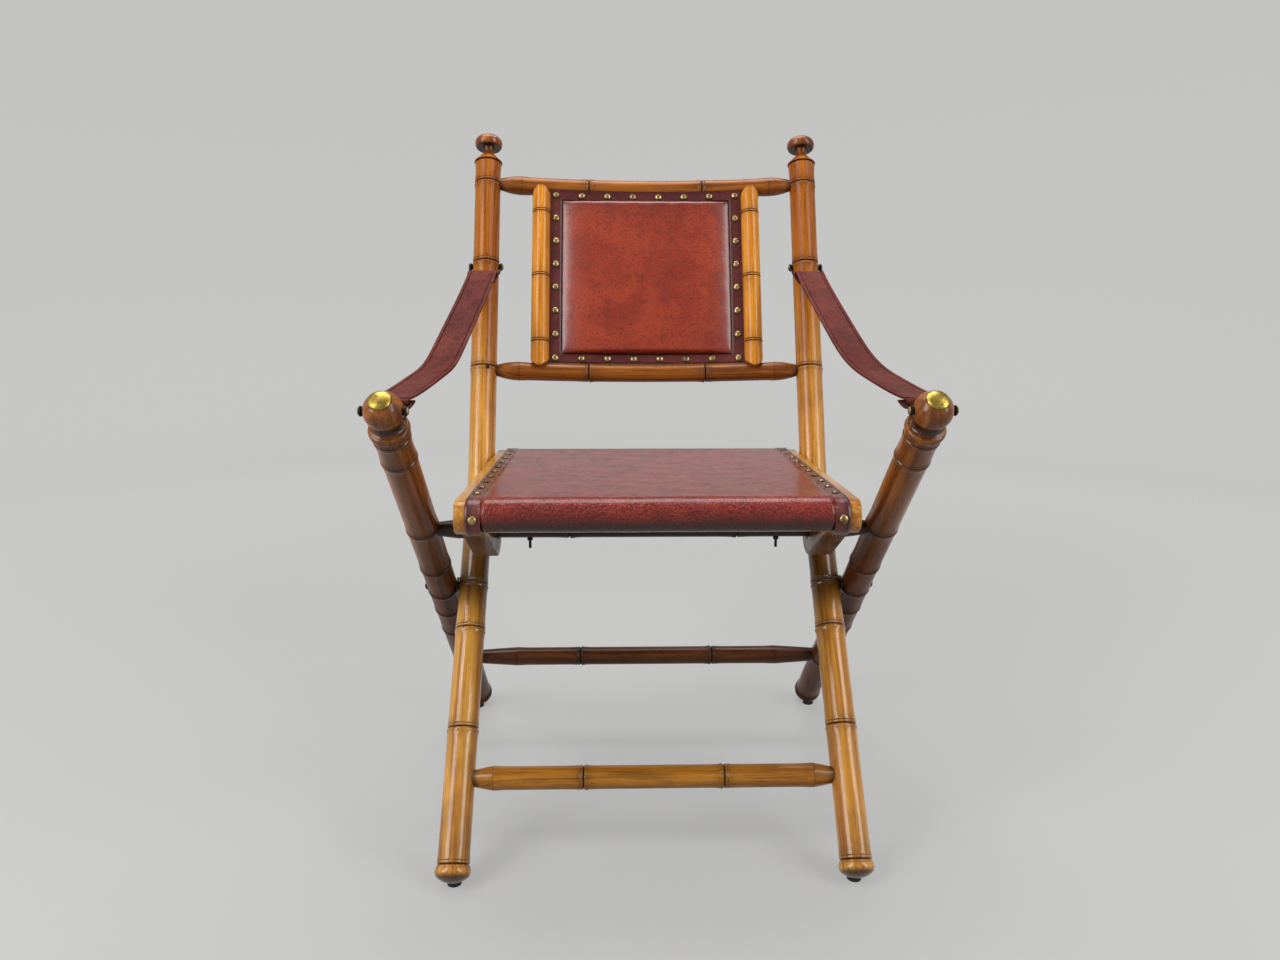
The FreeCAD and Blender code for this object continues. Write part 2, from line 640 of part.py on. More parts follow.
def side_board():
    """Side board with a rounded nose and the hook that takes the cross rail."""
    upper, lower, front, nose, top, bottom = side_profile()
    rail_y, rail_z = RAIL_IN_SEAT
    low = rail_z - SLOT_SAG
    lobe = SLOT_RADIUS + HOOK_LIP_DEPTH
    run = math.hypot(HOOK_FRONT_RUN, bottom - low)
    turn = math.pi - math.asin((bottom - low) / run) + math.acos(lobe / run)
    angles = (turn, (turn + 2 * math.pi) / 2, 2 * math.pi + math.asin(SLOT_SAG / lobe))
    rim = [vec(0, rail_y + lobe * math.cos(angle), low + lobe * math.sin(angle)) for angle in angles]
    start = vec(0, rail_y - HOOK_FRONT_RUN, bottom)
    rear = vec(0, rail_y + HOOK_REAR_RUN, bottom)
    edges = [upper, line(vec(0, front, top - nose), vec(0, front, bottom + nose)), lower]
    edges.append(line(vec(0, front + nose, bottom), start))
    edges += [line(start, rim[0]), arc(rim[0], rim[1], rim[2]), line(rim[2], rear)]
    edges.append(line(rear, vec(0, SEAT_REAR, bottom)))
    edges.append(line(vec(0, SEAT_REAR, bottom), vec(0, SEAT_REAR, top)))
    edges.append(line(vec(0, SEAT_REAR, top), vec(0, front + nose, top)))
    board = Part.Face(Part.Wire(edges)).extrude(vec(BOARD_WIDTH, 0, 0))
    across = (-OVERRUN, OVERRUN)
    rounds = [along_x(SLOT_RADIUS, -OVERRUN, OVERRUN, rail_y, height) for height in (rail_z, low)]
    between = box(across, (rail_y - SLOT_RADIUS, rail_y), (low, rail_z))
    throat = box(across, (rail_y, rail_y + OVERRUN), (low - SLOT_RADIUS, rail_z + SLOT_RADIUS))
    return board.cut(rounds + [between, throat])


def seat_band():
    """Leather band along the top of a side board and down round its nose."""
    edges = []
    ends = []
    for grow in (BAND_THICKNESS, 0):
        upper, lower, front, nose, top, bottom = side_profile(grow)
        edges += [upper, line(vec(0, front, top - nose), vec(0, front, bottom + nose)), lower]
        edges.append(line(vec(0, front + nose, top), vec(0, SEAT_REAR, top)))
        ends.append((vec(0, front + nose, bottom), vec(0, SEAT_REAR, top)))
    edges += [line(outside, inside) for outside, inside in zip(ends[0], ends[1])]
    return Part.Face(Part.Wire(Part.__sortEdges__(edges))).extrude(vec(BAND_WIDTH, 0, 0))


def seat_nails():
    """Small domed nails along both bands, and one large one on each band's nose."""
    heads = []
    small = dome(SEAT_NAIL_RADIUS, SEAT_NAIL_RISE)
    large = dome(FRONT_NAIL_RADIUS, FRONT_NAIL_RISE)
    start = -SEAT_FRONT + BOARD_NOSE_RADIUS
    run = SEAT_REAR - start
    for side in (-1, 1):
        x = side * (BOARD_INNER + BAND_WIDTH / 2)
        for index in range(SEAT_NAILS):
            share = NAIL_END_SHARE + (1 - 2 * NAIL_END_SHARE) * index / (SEAT_NAILS - 1)
            place = vec(x, start + run * share, BOARD_TOP + BAND_THICKNESS)
            heads.append(facing(small, vec(0, 0, 1), place))
        place = vec(x, -SEAT_FRONT - BAND_THICKNESS, (BOARD_TOP + BOARD_BOTTOM) / 2)
        heads.append(facing(large, vec(0, -1, 0), place))
    return heads


def roll_points():
    """Top, bottom, front and rear of the leather's outside in the seat's frame."""
    top = BOARD_TOP + SEAT_PROUD
    bottom = BOARD_BOTTOM + SEAT_RAIL_SHY
    return top, bottom, -SEAT_FRONT - BAND_THICKNESS, SEAT_REAR - SEAT_REAR_INSET


def rounded_front(front, rear, bottom, top, radius):
    """Outline with a rounded front, as a face in the YZ plane."""
    share = radius * (1 - DIAGONAL_SHARE)
    low_middle = vec(0, front + share, bottom + share)
    edges = [
        line(vec(0, rear, top), vec(0, front + radius, top)),
        arc(vec(0, front + radius, top), vec(0, front + share, top - share), vec(0, front, top - radius)),
        line(vec(0, front, top - radius), vec(0, front, bottom + radius)),
        arc(vec(0, front, bottom + radius), low_middle, vec(0, front + radius, bottom)),
        line(vec(0, front + radius, bottom), vec(0, rear, bottom)),
        line(vec(0, rear, bottom), vec(0, rear, top)),
    ]
    return Part.Face(Part.Wire(edges))


def seat_leather():
    """Leather seat: a taut sheet from the front roll to the rear rail, wrapped round both."""
    top, bottom, front, rear = roll_points()
    half = BOARD_INNER - SIDE_FIT
    skin = SEAT_LEATHER
    outer = rounded_front(front, rear, bottom, top, SEAT_ROLL_RADIUS)
    inner = rounded_front(front + skin, rear - skin, bottom + skin, top - skin, SEAT_ROLL_RADIUS - skin)
    sheet = outer.extrude(vec(2 * half, 0, 0)).cut(inner.extrude(vec(2 * half, 0, 0)))
    span = (front + skin + SEAT_CROSS_DEPTH, rear - skin - SEAT_CROSS_DEPTH)
    opening = box((0, 2 * half), span, (bottom - skin, bottom + skin))
    return moved_by(sheet.cut(opening), -half, 0, 0)


def seat_cross(front_piece):
    """Wooden rail under the leather between the side boards, with a tenon into each."""
    top, bottom, front, rear = roll_points()
    skin = SEAT_LEATHER
    half = BOARD_INNER
    low = bottom + skin
    high = top - skin
    if front_piece:
        start = front + skin
        end = start + SEAT_CROSS_DEPTH
        blank = rounded_front(start, end, low, high, SEAT_ROLL_RADIUS - skin).extrude(vec(2 * half, 0, 0))
        blank = moved_by(blank, -half, 0, 0)
    else:
        end = rear - skin
        start = end - SEAT_CROSS_DEPTH
        blank = box((-half, half), (start, end), (low, high))
    centre = ((start + end) / 2, (low + high) / 2)
    blank = blank.fuse(tenon_bar(half + SEAT_TENON_LENGTH, centre, 0))
    mortise = tenon_bar(half + SEAT_TENON_LENGTH + FIT, centre, FIT)
    return blank.removeSplitter(), mortise


def tenon_bar(half, centre, spare):
    wide = SEAT_TENON_WIDTH / 2 + spare
    tall = SEAT_TENON_HEIGHT / 2 + spare
    return box((-half, half), (centre[0] - wide, centre[0] + wide), (centre[1] - tall, centre[1] + tall))


# Fittings

def pivot_bolt(side, y, z):
    """Bolt through both posts, with a domed head outside the arm post."""
    head_x = ARM_HALF_SPREAD + ARM_RADIUS + SEAT_GAP
    start = BACK_HALF + PIVOT_NUT_RECESS
    shank = along_x(PIVOT_SHANK_RADIUS, side * start, side * head_x, y, z)
    head = facing(dome(PIVOT_HEAD_RADIUS, PIVOT_HEAD_HEIGHT), vec(side, 0, 0), vec(side * head_x, y, z))
    return shank.fuse(head).removeSplitter()


def pivot_nut(side, y, z):
    """Round nut let into the inner side of the back post, on the end of the pivot bolt."""
    start = BACK_HALF + PIVOT_NUT_RECESS
    end = start + PIVOT_NUT_HEIGHT
    bore = along_x(PIVOT_SHANK_RADIUS + FIT, side * BACK_HALF, side * (end + FIT), y, z)
    return along_x(PIVOT_NUT_RADIUS, side * start, side * end, y, z).cut(bore)


def pivot_washer(side, y, z):
    start = HALF_SPREAD + BACK_RADIUS + SEAT_GAP
    end = ARM_HALF - SEAT_GAP
    ring = along_x(PIVOT_WASHER_RADIUS, side * start, side * end, y, z)
    bore = along_x(PIVOT_SHANK_RADIUS + RUNNING_FIT, side * BACK_HALF, side * ARM_HALF_SPREAD, y, z)
    return ring.cut(bore)


def seat_pivot(side):
    """Pin from a side board, with its head let into the inner face, to a blind hole in the back post."""
    y, z = SEAT_PIVOT
    outer = BOARD_INNER + SEAT_GAP + SEAT_PIVOT_HEAD_HEIGHT
    shank = along_x(SEAT_PIVOT_RADIUS, side * outer, side * (BACK_HALF + SEAT_PIVOT_SOCKET), y, z)
    head = along_x(SEAT_PIVOT_HEAD_RADIUS, side * (BOARD_INNER + SEAT_GAP), side * outer, y, z)
    return shank.fuse(head).removeSplitter()


def bail(x, rivet, bar):
    """Wire bail on both sides of a post: two eyes, two arms and the bar that carries the strap."""
    run = vec(0, bar[0] - rivet[0], bar[1] - rivet[1])
    pieces = [along_x(BAIL_BAR_RADIUS, x - BAIL_HALF, x + BAIL_HALF, bar[0], bar[1])]
    for side in (-1, 1):
        place = vec(x + side * BAIL_HALF, rivet[0], rivet[1])
        half = BAIL_EYE_THICKNESS / 2
        eye = along_x(BAIL_EYE_RADIUS, place.x - half, place.x + half, rivet[0], rivet[1])
        arm = Part.makeCylinder(BAIL_WIRE_RADIUS, run.Length, place, run)
        knuckle = Part.makeSphere(BAIL_BAR_RADIUS, vec(place.x, bar[0], bar[1]))
        pieces += [eye, arm, knuckle]
    solid = pieces[0].fuse(pieces[1:])
    hole = along_x(RIVET_RADIUS + FIT, x - BAIL_HALF - OVERRUN, x + BAIL_HALF + OVERRUN, rivet[0], rivet[1])
    return solid.cut(hole).removeSplitter()


def rivets(x, post_radius, rivet):
    """The two rivets of a bail: a shank in the post, a collar under the eye and a head outside."""
    heads = []
    for side in (-1, 1):
        inside = x + side * (post_radius - RIVET_DEPTH)
        eye_inside = x + side * (BAIL_HALF - BAIL_EYE_THICKNESS / 2)
        eye_outside = x + side * (BAIL_HALF + BAIL_EYE_THICKNESS / 2 + FIT)
        shank = along_x(RIVET_RADIUS, inside, eye_outside, rivet[0], rivet[1])
        collar_start = x + side * (post_radius + FIT)
        collar = along_x(RIVET_HEAD_RADIUS, collar_start, eye_inside - side * FIT, rivet[0], rivet[1])
        place = vec(eye_outside, rivet[0], rivet[1])
        head = facing(dome(RIVET_HEAD_RADIUS, RIVET_HEAD_RISE), vec(side, 0, 0), place)
        heads.append(shank.fuse([collar, head]).removeSplitter())
    return heads


def rivet_tool(x, post_radius, rivet):
    """The two holes for a bail's rivets."""
    holes = []
    for side in (-1, 1):
        inside = x + side * (post_radius - RIVET_DEPTH - FIT)
        outside = x + side * (post_radius + OVERRUN)
        holes.append(along_x(RIVET_RADIUS + FIT, inside, outside, rivet[0], rivet[1]))
    return holes


def strap(side, front_bar, rear_bar):
    """Leather strap that hangs in a shallow curve between two bars, with a loop round each."""
    x_front = side * ARM_HALF_SPREAD
    x_rear = side * HALF_SPREAD
    start = vec(x_front, front_bar[0], front_bar[1])
    end = vec(x_rear, rear_bar[0], rear_bar[1])
    middle = (start + end) / 2 - vec(0, 0, STRAP_SAG)
    chord = vec(end.x - start.x, end.y - start.y, 0)
    chord.normalize()
    slope = (end.z - start.z) / (end - start).Length
    shift = vec(0, 0, STRAP_THICKNESS / 2)
    lean = chord * (-slope * STRAP_THICKNESS / 2)
    edges = [
        arc(start + shift + lean, middle + shift + lean, end + shift + lean),
        line(end + shift + lean, end - shift - lean),
        arc(end - shift - lean, middle - shift - lean, start - shift - lean),
        line(start - shift - lean, start + shift + lean),
    ]
    width = vec(STRAP_WIDTH, 0, 0)
    half = vec(STRAP_WIDTH / 2, 0, 0)
    band = Part.Face(Part.Wire(edges)).extrude(width)
    band.translate(-half)
    loop_radius = BAIL_BAR_RADIUS + SEAT_GAP + STRAP_LOOP
    hole_radius = BAIL_BAR_RADIUS + SEAT_GAP
    hole_length = STRAP_WIDTH + 2 * OVERRUN
    loops = []
    holes = []
    for place in (start, end):
        loops.append(Part.makeCylinder(loop_radius, STRAP_WIDTH, place - half, width))
        holes.append(Part.makeCylinder(hole_radius, hole_length, place - half - vec(OVERRUN, 0, 0), width))
    return band.fuse(loops).cut(holes).removeSplitter()


def build():
    nodes = {}
    crossing = local_point(LOWER, 0, CROSSING_REACH)
    top_rail, top_tools = back_rail(TOP_RAIL_REACH)
    bottom_rail, bottom_tools = back_rail(BOTTOM_RAIL_REACH)
    front_stretcher, front_tools = straight_rail(
        LOWER, FRONT_STRETCHER_REACH, BACK_HALF, FRONT_STRETCHER_DIA, STRETCHER_END_DIA, STRETCHER_TAPER)
    rear_stretcher, rear_tools = straight_rail(
        ARM, REAR_STRETCHER_REACH, ARM_HALF, REAR_STRETCHER_DIA, STRETCHER_END_DIA, REAR_TAPER)
    seat_rail, seat_rail_tools = straight_rail(
        ARM, SEAT_RAIL_REACH, ARM_HALF, SEAT_RAIL_DIA, SEAT_RAIL_END_DIA, STRETCHER_TAPER)
    ball = local_point(ARM, 0, ARM_REACH)
    ball_bar = (ball[0] + BALL_RADIUS + BALL_BAIL_CLEAR, ball[1] + BALL_BAIL_UP)
    post_rivet = local_point(UPPER, 0, POST_BAIL_REACH + POST_BAIL_RIVET_RISE)
    post_bar = local_point(UPPER, -BACK_RADIUS - POST_BAIL_CLEAR, POST_BAIL_REACH)

    # Posts with every bore and socket that their fittings need
    back_blank = back_post().cut(finial_socket())
    arm_blank, disc_seat = arm_post()
    front_glide = glide(LOWER, FRONT_FOOT_REACH, BACK_RADIUS, back_blank)
    rear_glide = glide(ARM, REAR_FOOT_REACH, ARM_RADIUS, arm_blank)
    lock_reach = BACK_HALF + TENON_DEPTH / 2
    lock_front = -BACK_RADIUS - LOCK_PIN_PROUD
    for name, side in SIDES:
        index = 0 if side < 0 else 1
        x = side * HALF_SPREAD
        tools = [top_tools[index], bottom_tools[index], front_tools[index]]
        tools.append(along_x(PIVOT_SHANK_RADIUS + FIT, x - OVERRUN, x + OVERRUN, crossing[0], crossing[1]))
        nut_end = side * (BACK_HALF + PIVOT_NUT_RECESS + PIVOT_NUT_HEIGHT)
        nut_start = nut_end - side * OVERRUN
        tools.append(along_x(PIVOT_NUT_RADIUS + FIT, nut_start, nut_end, crossing[0], crossing[1]))
        inner = side * (BACK_HALF - BOARD_SIDE_GAP)
        outer = side * (BACK_HALF + SEAT_PIVOT_SOCKET + FIT)
        tools.append(along_x(SEAT_PIVOT_RADIUS + FIT, inner, outer, SEAT_PIVOT[0], SEAT_PIVOT[1]))
        tools += rivet_tool(x, BACK_RADIUS, post_rivet)
        if side < 0:
            pin_place = vec(-lock_reach, lock_front, BOTTOM_RAIL_REACH)
            pin = Part.makeCylinder(LOCK_PIN_RADIUS, LOCK_PIN_LENGTH, pin_place, vec(0, 1, 0))
            hole = Part.makeCylinder(LOCK_PIN_RADIUS + FIT, LOCK_PIN_LENGTH + FIT, pin_place, vec(0, 1, 0))
            nodes["rail_lock_pin"] = [placed(pin, UPPER)]
            tools.append(placed(hole, UPPER))
            bottom_rail = bottom_rail.cut(placed(hole, UPPER))
        nodes["back_post_" + name] = [moved_by(back_blank, x, 0, 0).cut(tools)]
        nodes["finial_" + name] = [moved_by(finial(), x, 0, 0)]

        x = side * ARM_HALF_SPREAD
        tools = [rear_tools[index], seat_rail_tools[index]]
        radius = PIVOT_SHANK_RADIUS + RUNNING_FIT
        tools.append(along_x(radius, x - OVERRUN, x + OVERRUN, crossing[0], crossing[1]))
        tools += rivet_tool(x, BALL_RADIUS, ball)
        nodes["arm_post_" + name] = [moved_by(arm_blank, x, 0, 0).cut(tools)]
        disc = placed(moved_by(dome(DISC_RADIUS, DISC_CROWN), 0, 0, disc_seat), ARM)
        nodes["arm_disc_" + name] = [moved_by(disc, x, 0, 0)]

        nodes["front_glide_" + name] = [moved_by(front_glide, side * HALF_SPREAD, 0, 0)]
        nodes["rear_glide_" + name] = [moved_by(rear_glide, x, 0, 0)]
        nodes["pivot_bolt_" + name] = [pivot_bolt(side, crossing[0], crossing[1])]
        nodes["pivot_nut_" + name] = [pivot_nut(side, crossing[0], crossing[1])]
        nodes["pivot_washer_" + name] = [pivot_washer(side, crossing[0], crossing[1])]
        nodes["seat_pivot_" + name] = [seat_pivot(side)]
        nodes["post_bail_" + name] = [bail(side * HALF_SPREAD, post_rivet, post_bar)]
        nodes["ball_bail_" + name] = [bail(x, ball, ball_bar)]
        nodes["arm_strap_" + name] = [strap(side, ball_bar, post_bar)]

    nodes["post_rivets"] = []
    nodes["ball_rivets"] = []
    for side in (-1, 1):
        nodes["post_rivets"] += rivets(side * HALF_SPREAD, BACK_RADIUS, post_rivet)
        nodes["ball_rivets"] += rivets(side * ARM_HALF_SPREAD, BALL_RADIUS, ball)

    # Cross members
    nodes["back_top_rail"] = [top_rail]
    nodes["back_bottom_rail"] = [bottom_rail]
    nodes["front_stretcher"] = [front_stretcher]
    nodes["rear_stretcher"] = [rear_stretcher]
    pins = []
    for side in (-1, 1):
        base = vec(side * RAIL_PIN_SHARE * ARM_HALF, RAIL_PLACE[0], RAIL_PLACE[1])
        down = vec(0, 0, -1)
        under = base + down * (SEAT_RAIL_DIA / 2)
        shank = Part.makeCylinder(RAIL_PIN_RADIUS, SEAT_RAIL_DIA / 2 + RAIL_PIN_DROP, base, down)
        collar = Part.makeCylinder(RAIL_PIN_COLLAR_RADIUS, RAIL_PIN_COLLAR_HEIGHT, under, down)
        hole = Part.makeCylinder(RAIL_PIN_RADIUS + FIT, OVERRUN, base - down * FIT, down)
        seat_rail = seat_rail.cut(hole)
        pins.append(shank.fuse(collar).removeSplitter())
    nodes["seat_rail"] = [seat_rail]
    nodes["seat_rail_pins"] = pins

    # Back
    saddle = rail(BACK_HALF, BACK_RAIL_DIA + 2 * FIT, BACK_RAIL_END_DIA, BACK_RAIL_TAPER, BACK_RAIL_BOW)[0]
    rails = [moved_by(saddle, 0, 0, reach) for reach in (TOP_RAIL_REACH, BOTTOM_RAIL_REACH)]
    for name, side in SIDES:
        piece = moved_by(slat(), side * SLAT_SPREAD / 2, 0, 0).cut(rails)
        nodes["back_slat_" + name] = [placed(piece, UPPER)]
    nodes["back_core"] = [placed(back_core(), UPPER)]
    nodes["back_pad"] = [placed(back_pad(), UPPER)]
    nodes["back_border"] = [placed(back_border(), UPPER)]
    nodes["back_rear_cover"] = [placed(back_rear_cover(), UPPER)]
    nodes["back_nails"] = [placed(head, UPPER) for head in back_nails()]

    # Seat
    front_cross, front_mortise = seat_cross(True)
    rear_cross, rear_mortise = seat_cross(False)
    bore = along_x(SEAT_PIVOT_RADIUS + RUNNING_FIT, -ARM_HALF, ARM_HALF, 0, 0)
    recess_half = BOARD_INNER + SEAT_PIVOT_HEAD_HEIGHT + 2 * SEAT_GAP
    recess = along_x(SEAT_PIVOT_HEAD_RADIUS + SEAT_GAP, -recess_half, recess_half, 0, 0)
    for name, side in SIDES:
        start = BOARD_INNER if side > 0 else -BOARD_OUTER
        board = moved_by(side_board(), start, 0, 0).cut([front_mortise, rear_mortise, bore, recess])
        nodes["seat_board_" + name] = [placed(board, SEAT)]
        start = BOARD_INNER if side > 0 else -BOARD_INNER - BAND_WIDTH
        nodes["seat_band_" + name] = [placed(moved_by(seat_band(), start, 0, 0), SEAT)]
    nodes["seat_front_cross"] = [placed(front_cross, SEAT)]
    nodes["seat_rear_cross"] = [placed(rear_cross, SEAT)]
    nodes["seat_leather"] = [placed(seat_leather(), SEAT)]
    nodes["seat_nails"] = [placed(head, SEAT) for head in seat_nails()]
    return nodes, crossing


def export(nodes, crossing):
    """Centre the chair over the origin and write one STEP file for each node."""
    os.makedirs("parts", exist_ok=True)
    boxes = [solid.optimalBoundingBox(False, False) for solids in nodes.values() for solid in solids]
    middle = (min(bound.YMin for bound in boxes) + max(bound.YMax for bound in boxes)) / 2
    for name, solids in nodes.items():
        moved = [moved_by(solid, 0, -middle, -FLOOR) for solid in solids]
        shape = moved[0] if len(moved) == 1 else Part.makeCompound(moved)
        if not shape.isValid():
            print("not valid", name)
        if len(shape.Solids) != len(solids):
            print("solids", name, len(shape.Solids), len(solids))
        shape.exportStep("parts/" + name + ".step")
    print("nodes", len(nodes))
    print("fold axis y z", crossing[0] - middle, crossing[1] - FLOOR)
    print("seat axis y z", SEAT_PIVOT[0] - middle, SEAT_PIVOT[1] - FLOOR)
    lowest = min(bound.ZMin for bound in boxes) - FLOOR
    print("lowest", lowest, "highest", max(bound.ZMax for bound in boxes) - FLOOR)
    print("width", max(bound.XMax for bound in boxes) * 2, "middle", middle)


chair, fold_axis = build()
export(chair, fold_axis)
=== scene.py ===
"""Looks of the folding campaign armchair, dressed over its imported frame.

Sizes are millimetres in the source's drawn frame: Y is zero where the axis of the front posts meets
Z = 0, +Z is up and the chair faces -Y. They become metres in the chair's own frame when a mesh is made.
"""
import json
import math
import bmesh
import bpy
import numpy as np
from mathutils import Matrix, Vector


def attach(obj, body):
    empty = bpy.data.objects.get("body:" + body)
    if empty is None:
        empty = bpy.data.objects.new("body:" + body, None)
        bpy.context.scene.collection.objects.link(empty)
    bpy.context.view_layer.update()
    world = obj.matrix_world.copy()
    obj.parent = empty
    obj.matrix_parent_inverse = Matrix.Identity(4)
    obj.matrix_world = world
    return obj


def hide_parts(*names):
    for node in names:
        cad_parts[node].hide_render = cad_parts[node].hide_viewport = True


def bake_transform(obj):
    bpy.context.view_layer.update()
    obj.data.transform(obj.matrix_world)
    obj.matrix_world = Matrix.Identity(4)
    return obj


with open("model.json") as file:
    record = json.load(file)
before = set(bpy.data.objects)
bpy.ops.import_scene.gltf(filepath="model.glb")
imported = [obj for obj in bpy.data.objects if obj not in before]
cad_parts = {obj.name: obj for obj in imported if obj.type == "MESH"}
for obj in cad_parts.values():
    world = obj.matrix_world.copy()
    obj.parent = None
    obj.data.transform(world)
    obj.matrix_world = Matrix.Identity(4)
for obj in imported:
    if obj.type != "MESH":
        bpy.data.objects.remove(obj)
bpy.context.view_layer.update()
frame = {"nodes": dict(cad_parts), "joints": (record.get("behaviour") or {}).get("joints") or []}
MM = 0.001
SIDES = (("left", -1), ("right", 1))

# Layout of the two crossed frames
POST_SPREAD = 476.0
KINK_REACH = 551.0
TOP_RAIL_REACH = 449.5
CAP_ABOVE_TOP_RAIL = 66.0
ARM_REACH = 801.3
FEET_SPREAD = 539.0
FRONT_LEAN = 38.6
BACK_LEAN = 21.2
ARM_LEAN = 44.3
BACK_RADIUS = 19.5
ARM_RADIUS = 20.0
POST_GAP = 2.0
BEND_RADIUS = 100.0
UPPER_RING_SHARES = (0.316, 0.627)
LOWER_RING_SHARES = (0.359, 0.5925)
ARM_RING_SHARES = (0.387, 0.463, 0.609, 0.725, 0.903)

# Turned details
GROOVE_DEPTH = 1.4
GROOVE_HALF = 1.5
BEAD_RISE = 0.55
BEAD_BELOW = 3.6
BEAD_HALF = 2.0
LINE_ABOVE = 4.2
LINE_DEPTH = 0.6
LINE_HALF = 0.8
WAIST = 0.7
FLARE = 16.0
FOOT_SWELL = 1.5
FOOT_END_SHARE = 0.6
FOOT_CORNER_SHARE = 0.39
FOOT_RING_RISE = 8.0
# Painted shadow of the seat on the back posts, and how far it fades at each end
UNDER_SEAT_PAINTED_SHADE = 0.78
UNDER_SEAT_FADE = 60.0
FOOT_STAIN = 0.3
FOOT_STAIN_REACH = 70.0
GLIDE_HEIGHT = 4.0
SHOULDER_BELOW_CAP = 20.0
SHOULDER_FLANGE = 13.0
SHOULDER_LIP = 1.4
SHOULDER_GROOVE = 0.9
SHOULDER_SLOPE = 5.0
SHOULDER_EDGE = 0.5
SHOULDER_TOP_RADIUS = 10.5
SHOULDER_CHAMFER = 11.0
NECK_RADIUS = 8.5
CAP_RADIUS = 20.6
CAP_RISE = 13.0
CAP_UNDERSIDE = 7.5
CAP_UNDERSIDE_RADIUS = 16.5
BALL_RADIUS = 20.6
BALL_NECK_RADIUS = 14.0
COLLAR_BELOW_BALL = 40.0
CUP_SHY = 1.0
CUP_BEAD_RISE = 10.2
CUP_BEAD_HALF = 4.6
CUP_BEAD_SWELL = 3.0
CUP_RISE = 14.8
CUP_HEIGHT = 7.0
DISC_RADIUS = 12.2
DISC_CROWN = 4.5
DISC_RIM = 0.6

# Cross members
BACK_RAIL_BOW = 15.0
BOTTOM_RAIL_REACH = 159.0
BACK_RAIL_RADIUS = 13.75
BACK_RAIL_END_RADIUS = 8.5
BACK_RAIL_TAPER = 32.0
BACK_RAIL_BULGE_SHARE = 0.25
FRONT_STRETCHER_REACH = 137.5
FRONT_STRETCHER_RADIUS = 14.65
REAR_STRETCHER_REACH = 185.5
REAR_STRETCHER_RADIUS = 14.25
STRETCHER_END_RADIUS = 10.25
STRETCHER_TAPER = 23.0
STRETCHER_BULGE_SHARE = 0.04
REAR_TAPER = 60.0
SEAT_RAIL_REACH = 571.5
SEAT_RAIL_RADIUS = 11.75
SEAT_RAIL_END_RADIUS = 8.75
RAIL_GROOVE_SHARE = 0.394
RAIL_INTO_POST = 8.0

# Back panel
SLAT_SPREAD = 314.0
SLAT_WIDTH = 26.7
SLAT_DEPTH = 12.0
SLAT_BACK = -1.0
SLAT_UNDER_TOP = 4.5
SLAT_OVER_BOTTOM = 4.0
SLAT_POINT = 14.0
SLAT_RING_SHARES = (0.143, 0.5, 0.857)
SLAT_RING_HALF = 1.7
PANEL_UNDER_SLAT = 4.6
PANEL_FACE = 4.0
BORDER_THICKNESS = 1.8
BORDER_WIDTH = 17.0
TOP_BORDER_WIDTH = 8.0
BOTTOM_BORDER_WIDTH = 12.4
BORDER_LAP = 4.6
BORDER_LAP_LIFT = 6.6
PAD_RISE = 9.0
PAD_SIDE_ROLL = 46.0
PAD_END_ROLL = 8.5
REAR_COVER_INSET = 8.0
BACK_NAIL_ROWS = 8
BACK_NAIL_RADIUS = 5.3
BACK_NAIL_RISE = 2.8
FIT = 0.1

# Seat
SEAT_SLOPE = 1.5
SEAT_PIVOT_ABOVE_RAIL = 37.9
SEAT_FRONT = 352.0
SEAT_REAR = 37.0
BOARD_TOP = 18.0
BOARD_HEIGHT = 38.0
BOARD_WIDTH = 29.0
BOARD_SIDE_GAP = 0.8
BOARD_NOSE_RADIUS = 18.0
BAND_WIDTH = 17.0
BAND_THICKNESS = 2.0
BAND_PUCKER = 0.55
BAND_NARROWING = 0.07
BAND_LINE = 3.0
BAND_LINE_HALF = 0.8
SEAT_SKIN = 3.0
SEAT_PROUD = 2.5
SEAT_RAIL_SHY = 2.0
SEAT_ROLL_RADIUS = 18.0
SEAT_REAR_ROUND = 6.0
SEAT_REAR_CURL = 4.0
SEAT_SAG = 3.2
SEAT_RIDGE = 0.7
SEAT_RIDGE_HALF = 3.0
SEAT_RIPPLE = 0.15
SEAT_RIPPLE_RUN = 6.5
SEAT_CROSS_DEPTH = 30.0
SEAT_REAR_INSET = 2.0
SEAT_NAILS = 10
SEAT_NAIL_RADIUS = 4.0
SEAT_NAIL_RISE = 2.2
FRONT_NAIL_RADIUS = 5.2
FRONT_NAIL_RISE = 3.0
NAIL_END_SHARE = 0.06
SLOT_CLEARANCE = 0.4
SLOT_SAG = 1.6
HOOK_FRONT_RUN = 105.0
HOOK_LIP_DEPTH = 19.5
HOOK_REAR_RUN = 52.0
EDGE_ROUND = 1.6

# Arm straps and bails
STRAP_WIDTH = 41.0
STRAP_THICKNESS = 3.4
STRAP_HEM = 5.0
HEM_GROOVE_HALF = 0.7
HEM_GROOVE_DEPTH = 0.8
STRAP_CUP = 0.5
STRAP_TURNED_HALF = 1.3
STRAP_EDGE = 0.5
STRAP_TURNED_END = 20.0
STRAP_TURNED_CLOSING = 2.4
STRAP_BENDS = {-1: (150.0, 235.0), 1: (125.0, 275.0)}
STRAP_LOW_SLOPE = 0.13
STRAP_HIGH_SLOPE = 0.49
BAIL_BAR_RADIUS = 2.5
BAIL_WIRE_RADIUS = 1.3
BAIL_HALF = 22.6
BAIL_EYE_RADIUS = 5.5
BAIL_EYE_THICKNESS = 2.8
BALL_BAIL_BACK = 29.0
BALL_BAIL_UP = 4.0
POST_BAIL_REACH = 295.5
POST_BAIL_RIVET_RISE = 22.5
POST_BAIL_AHEAD = 26.0
RIVET_HEAD_RADIUS = 4.2
RIVET_HEAD_RISE = 2.0

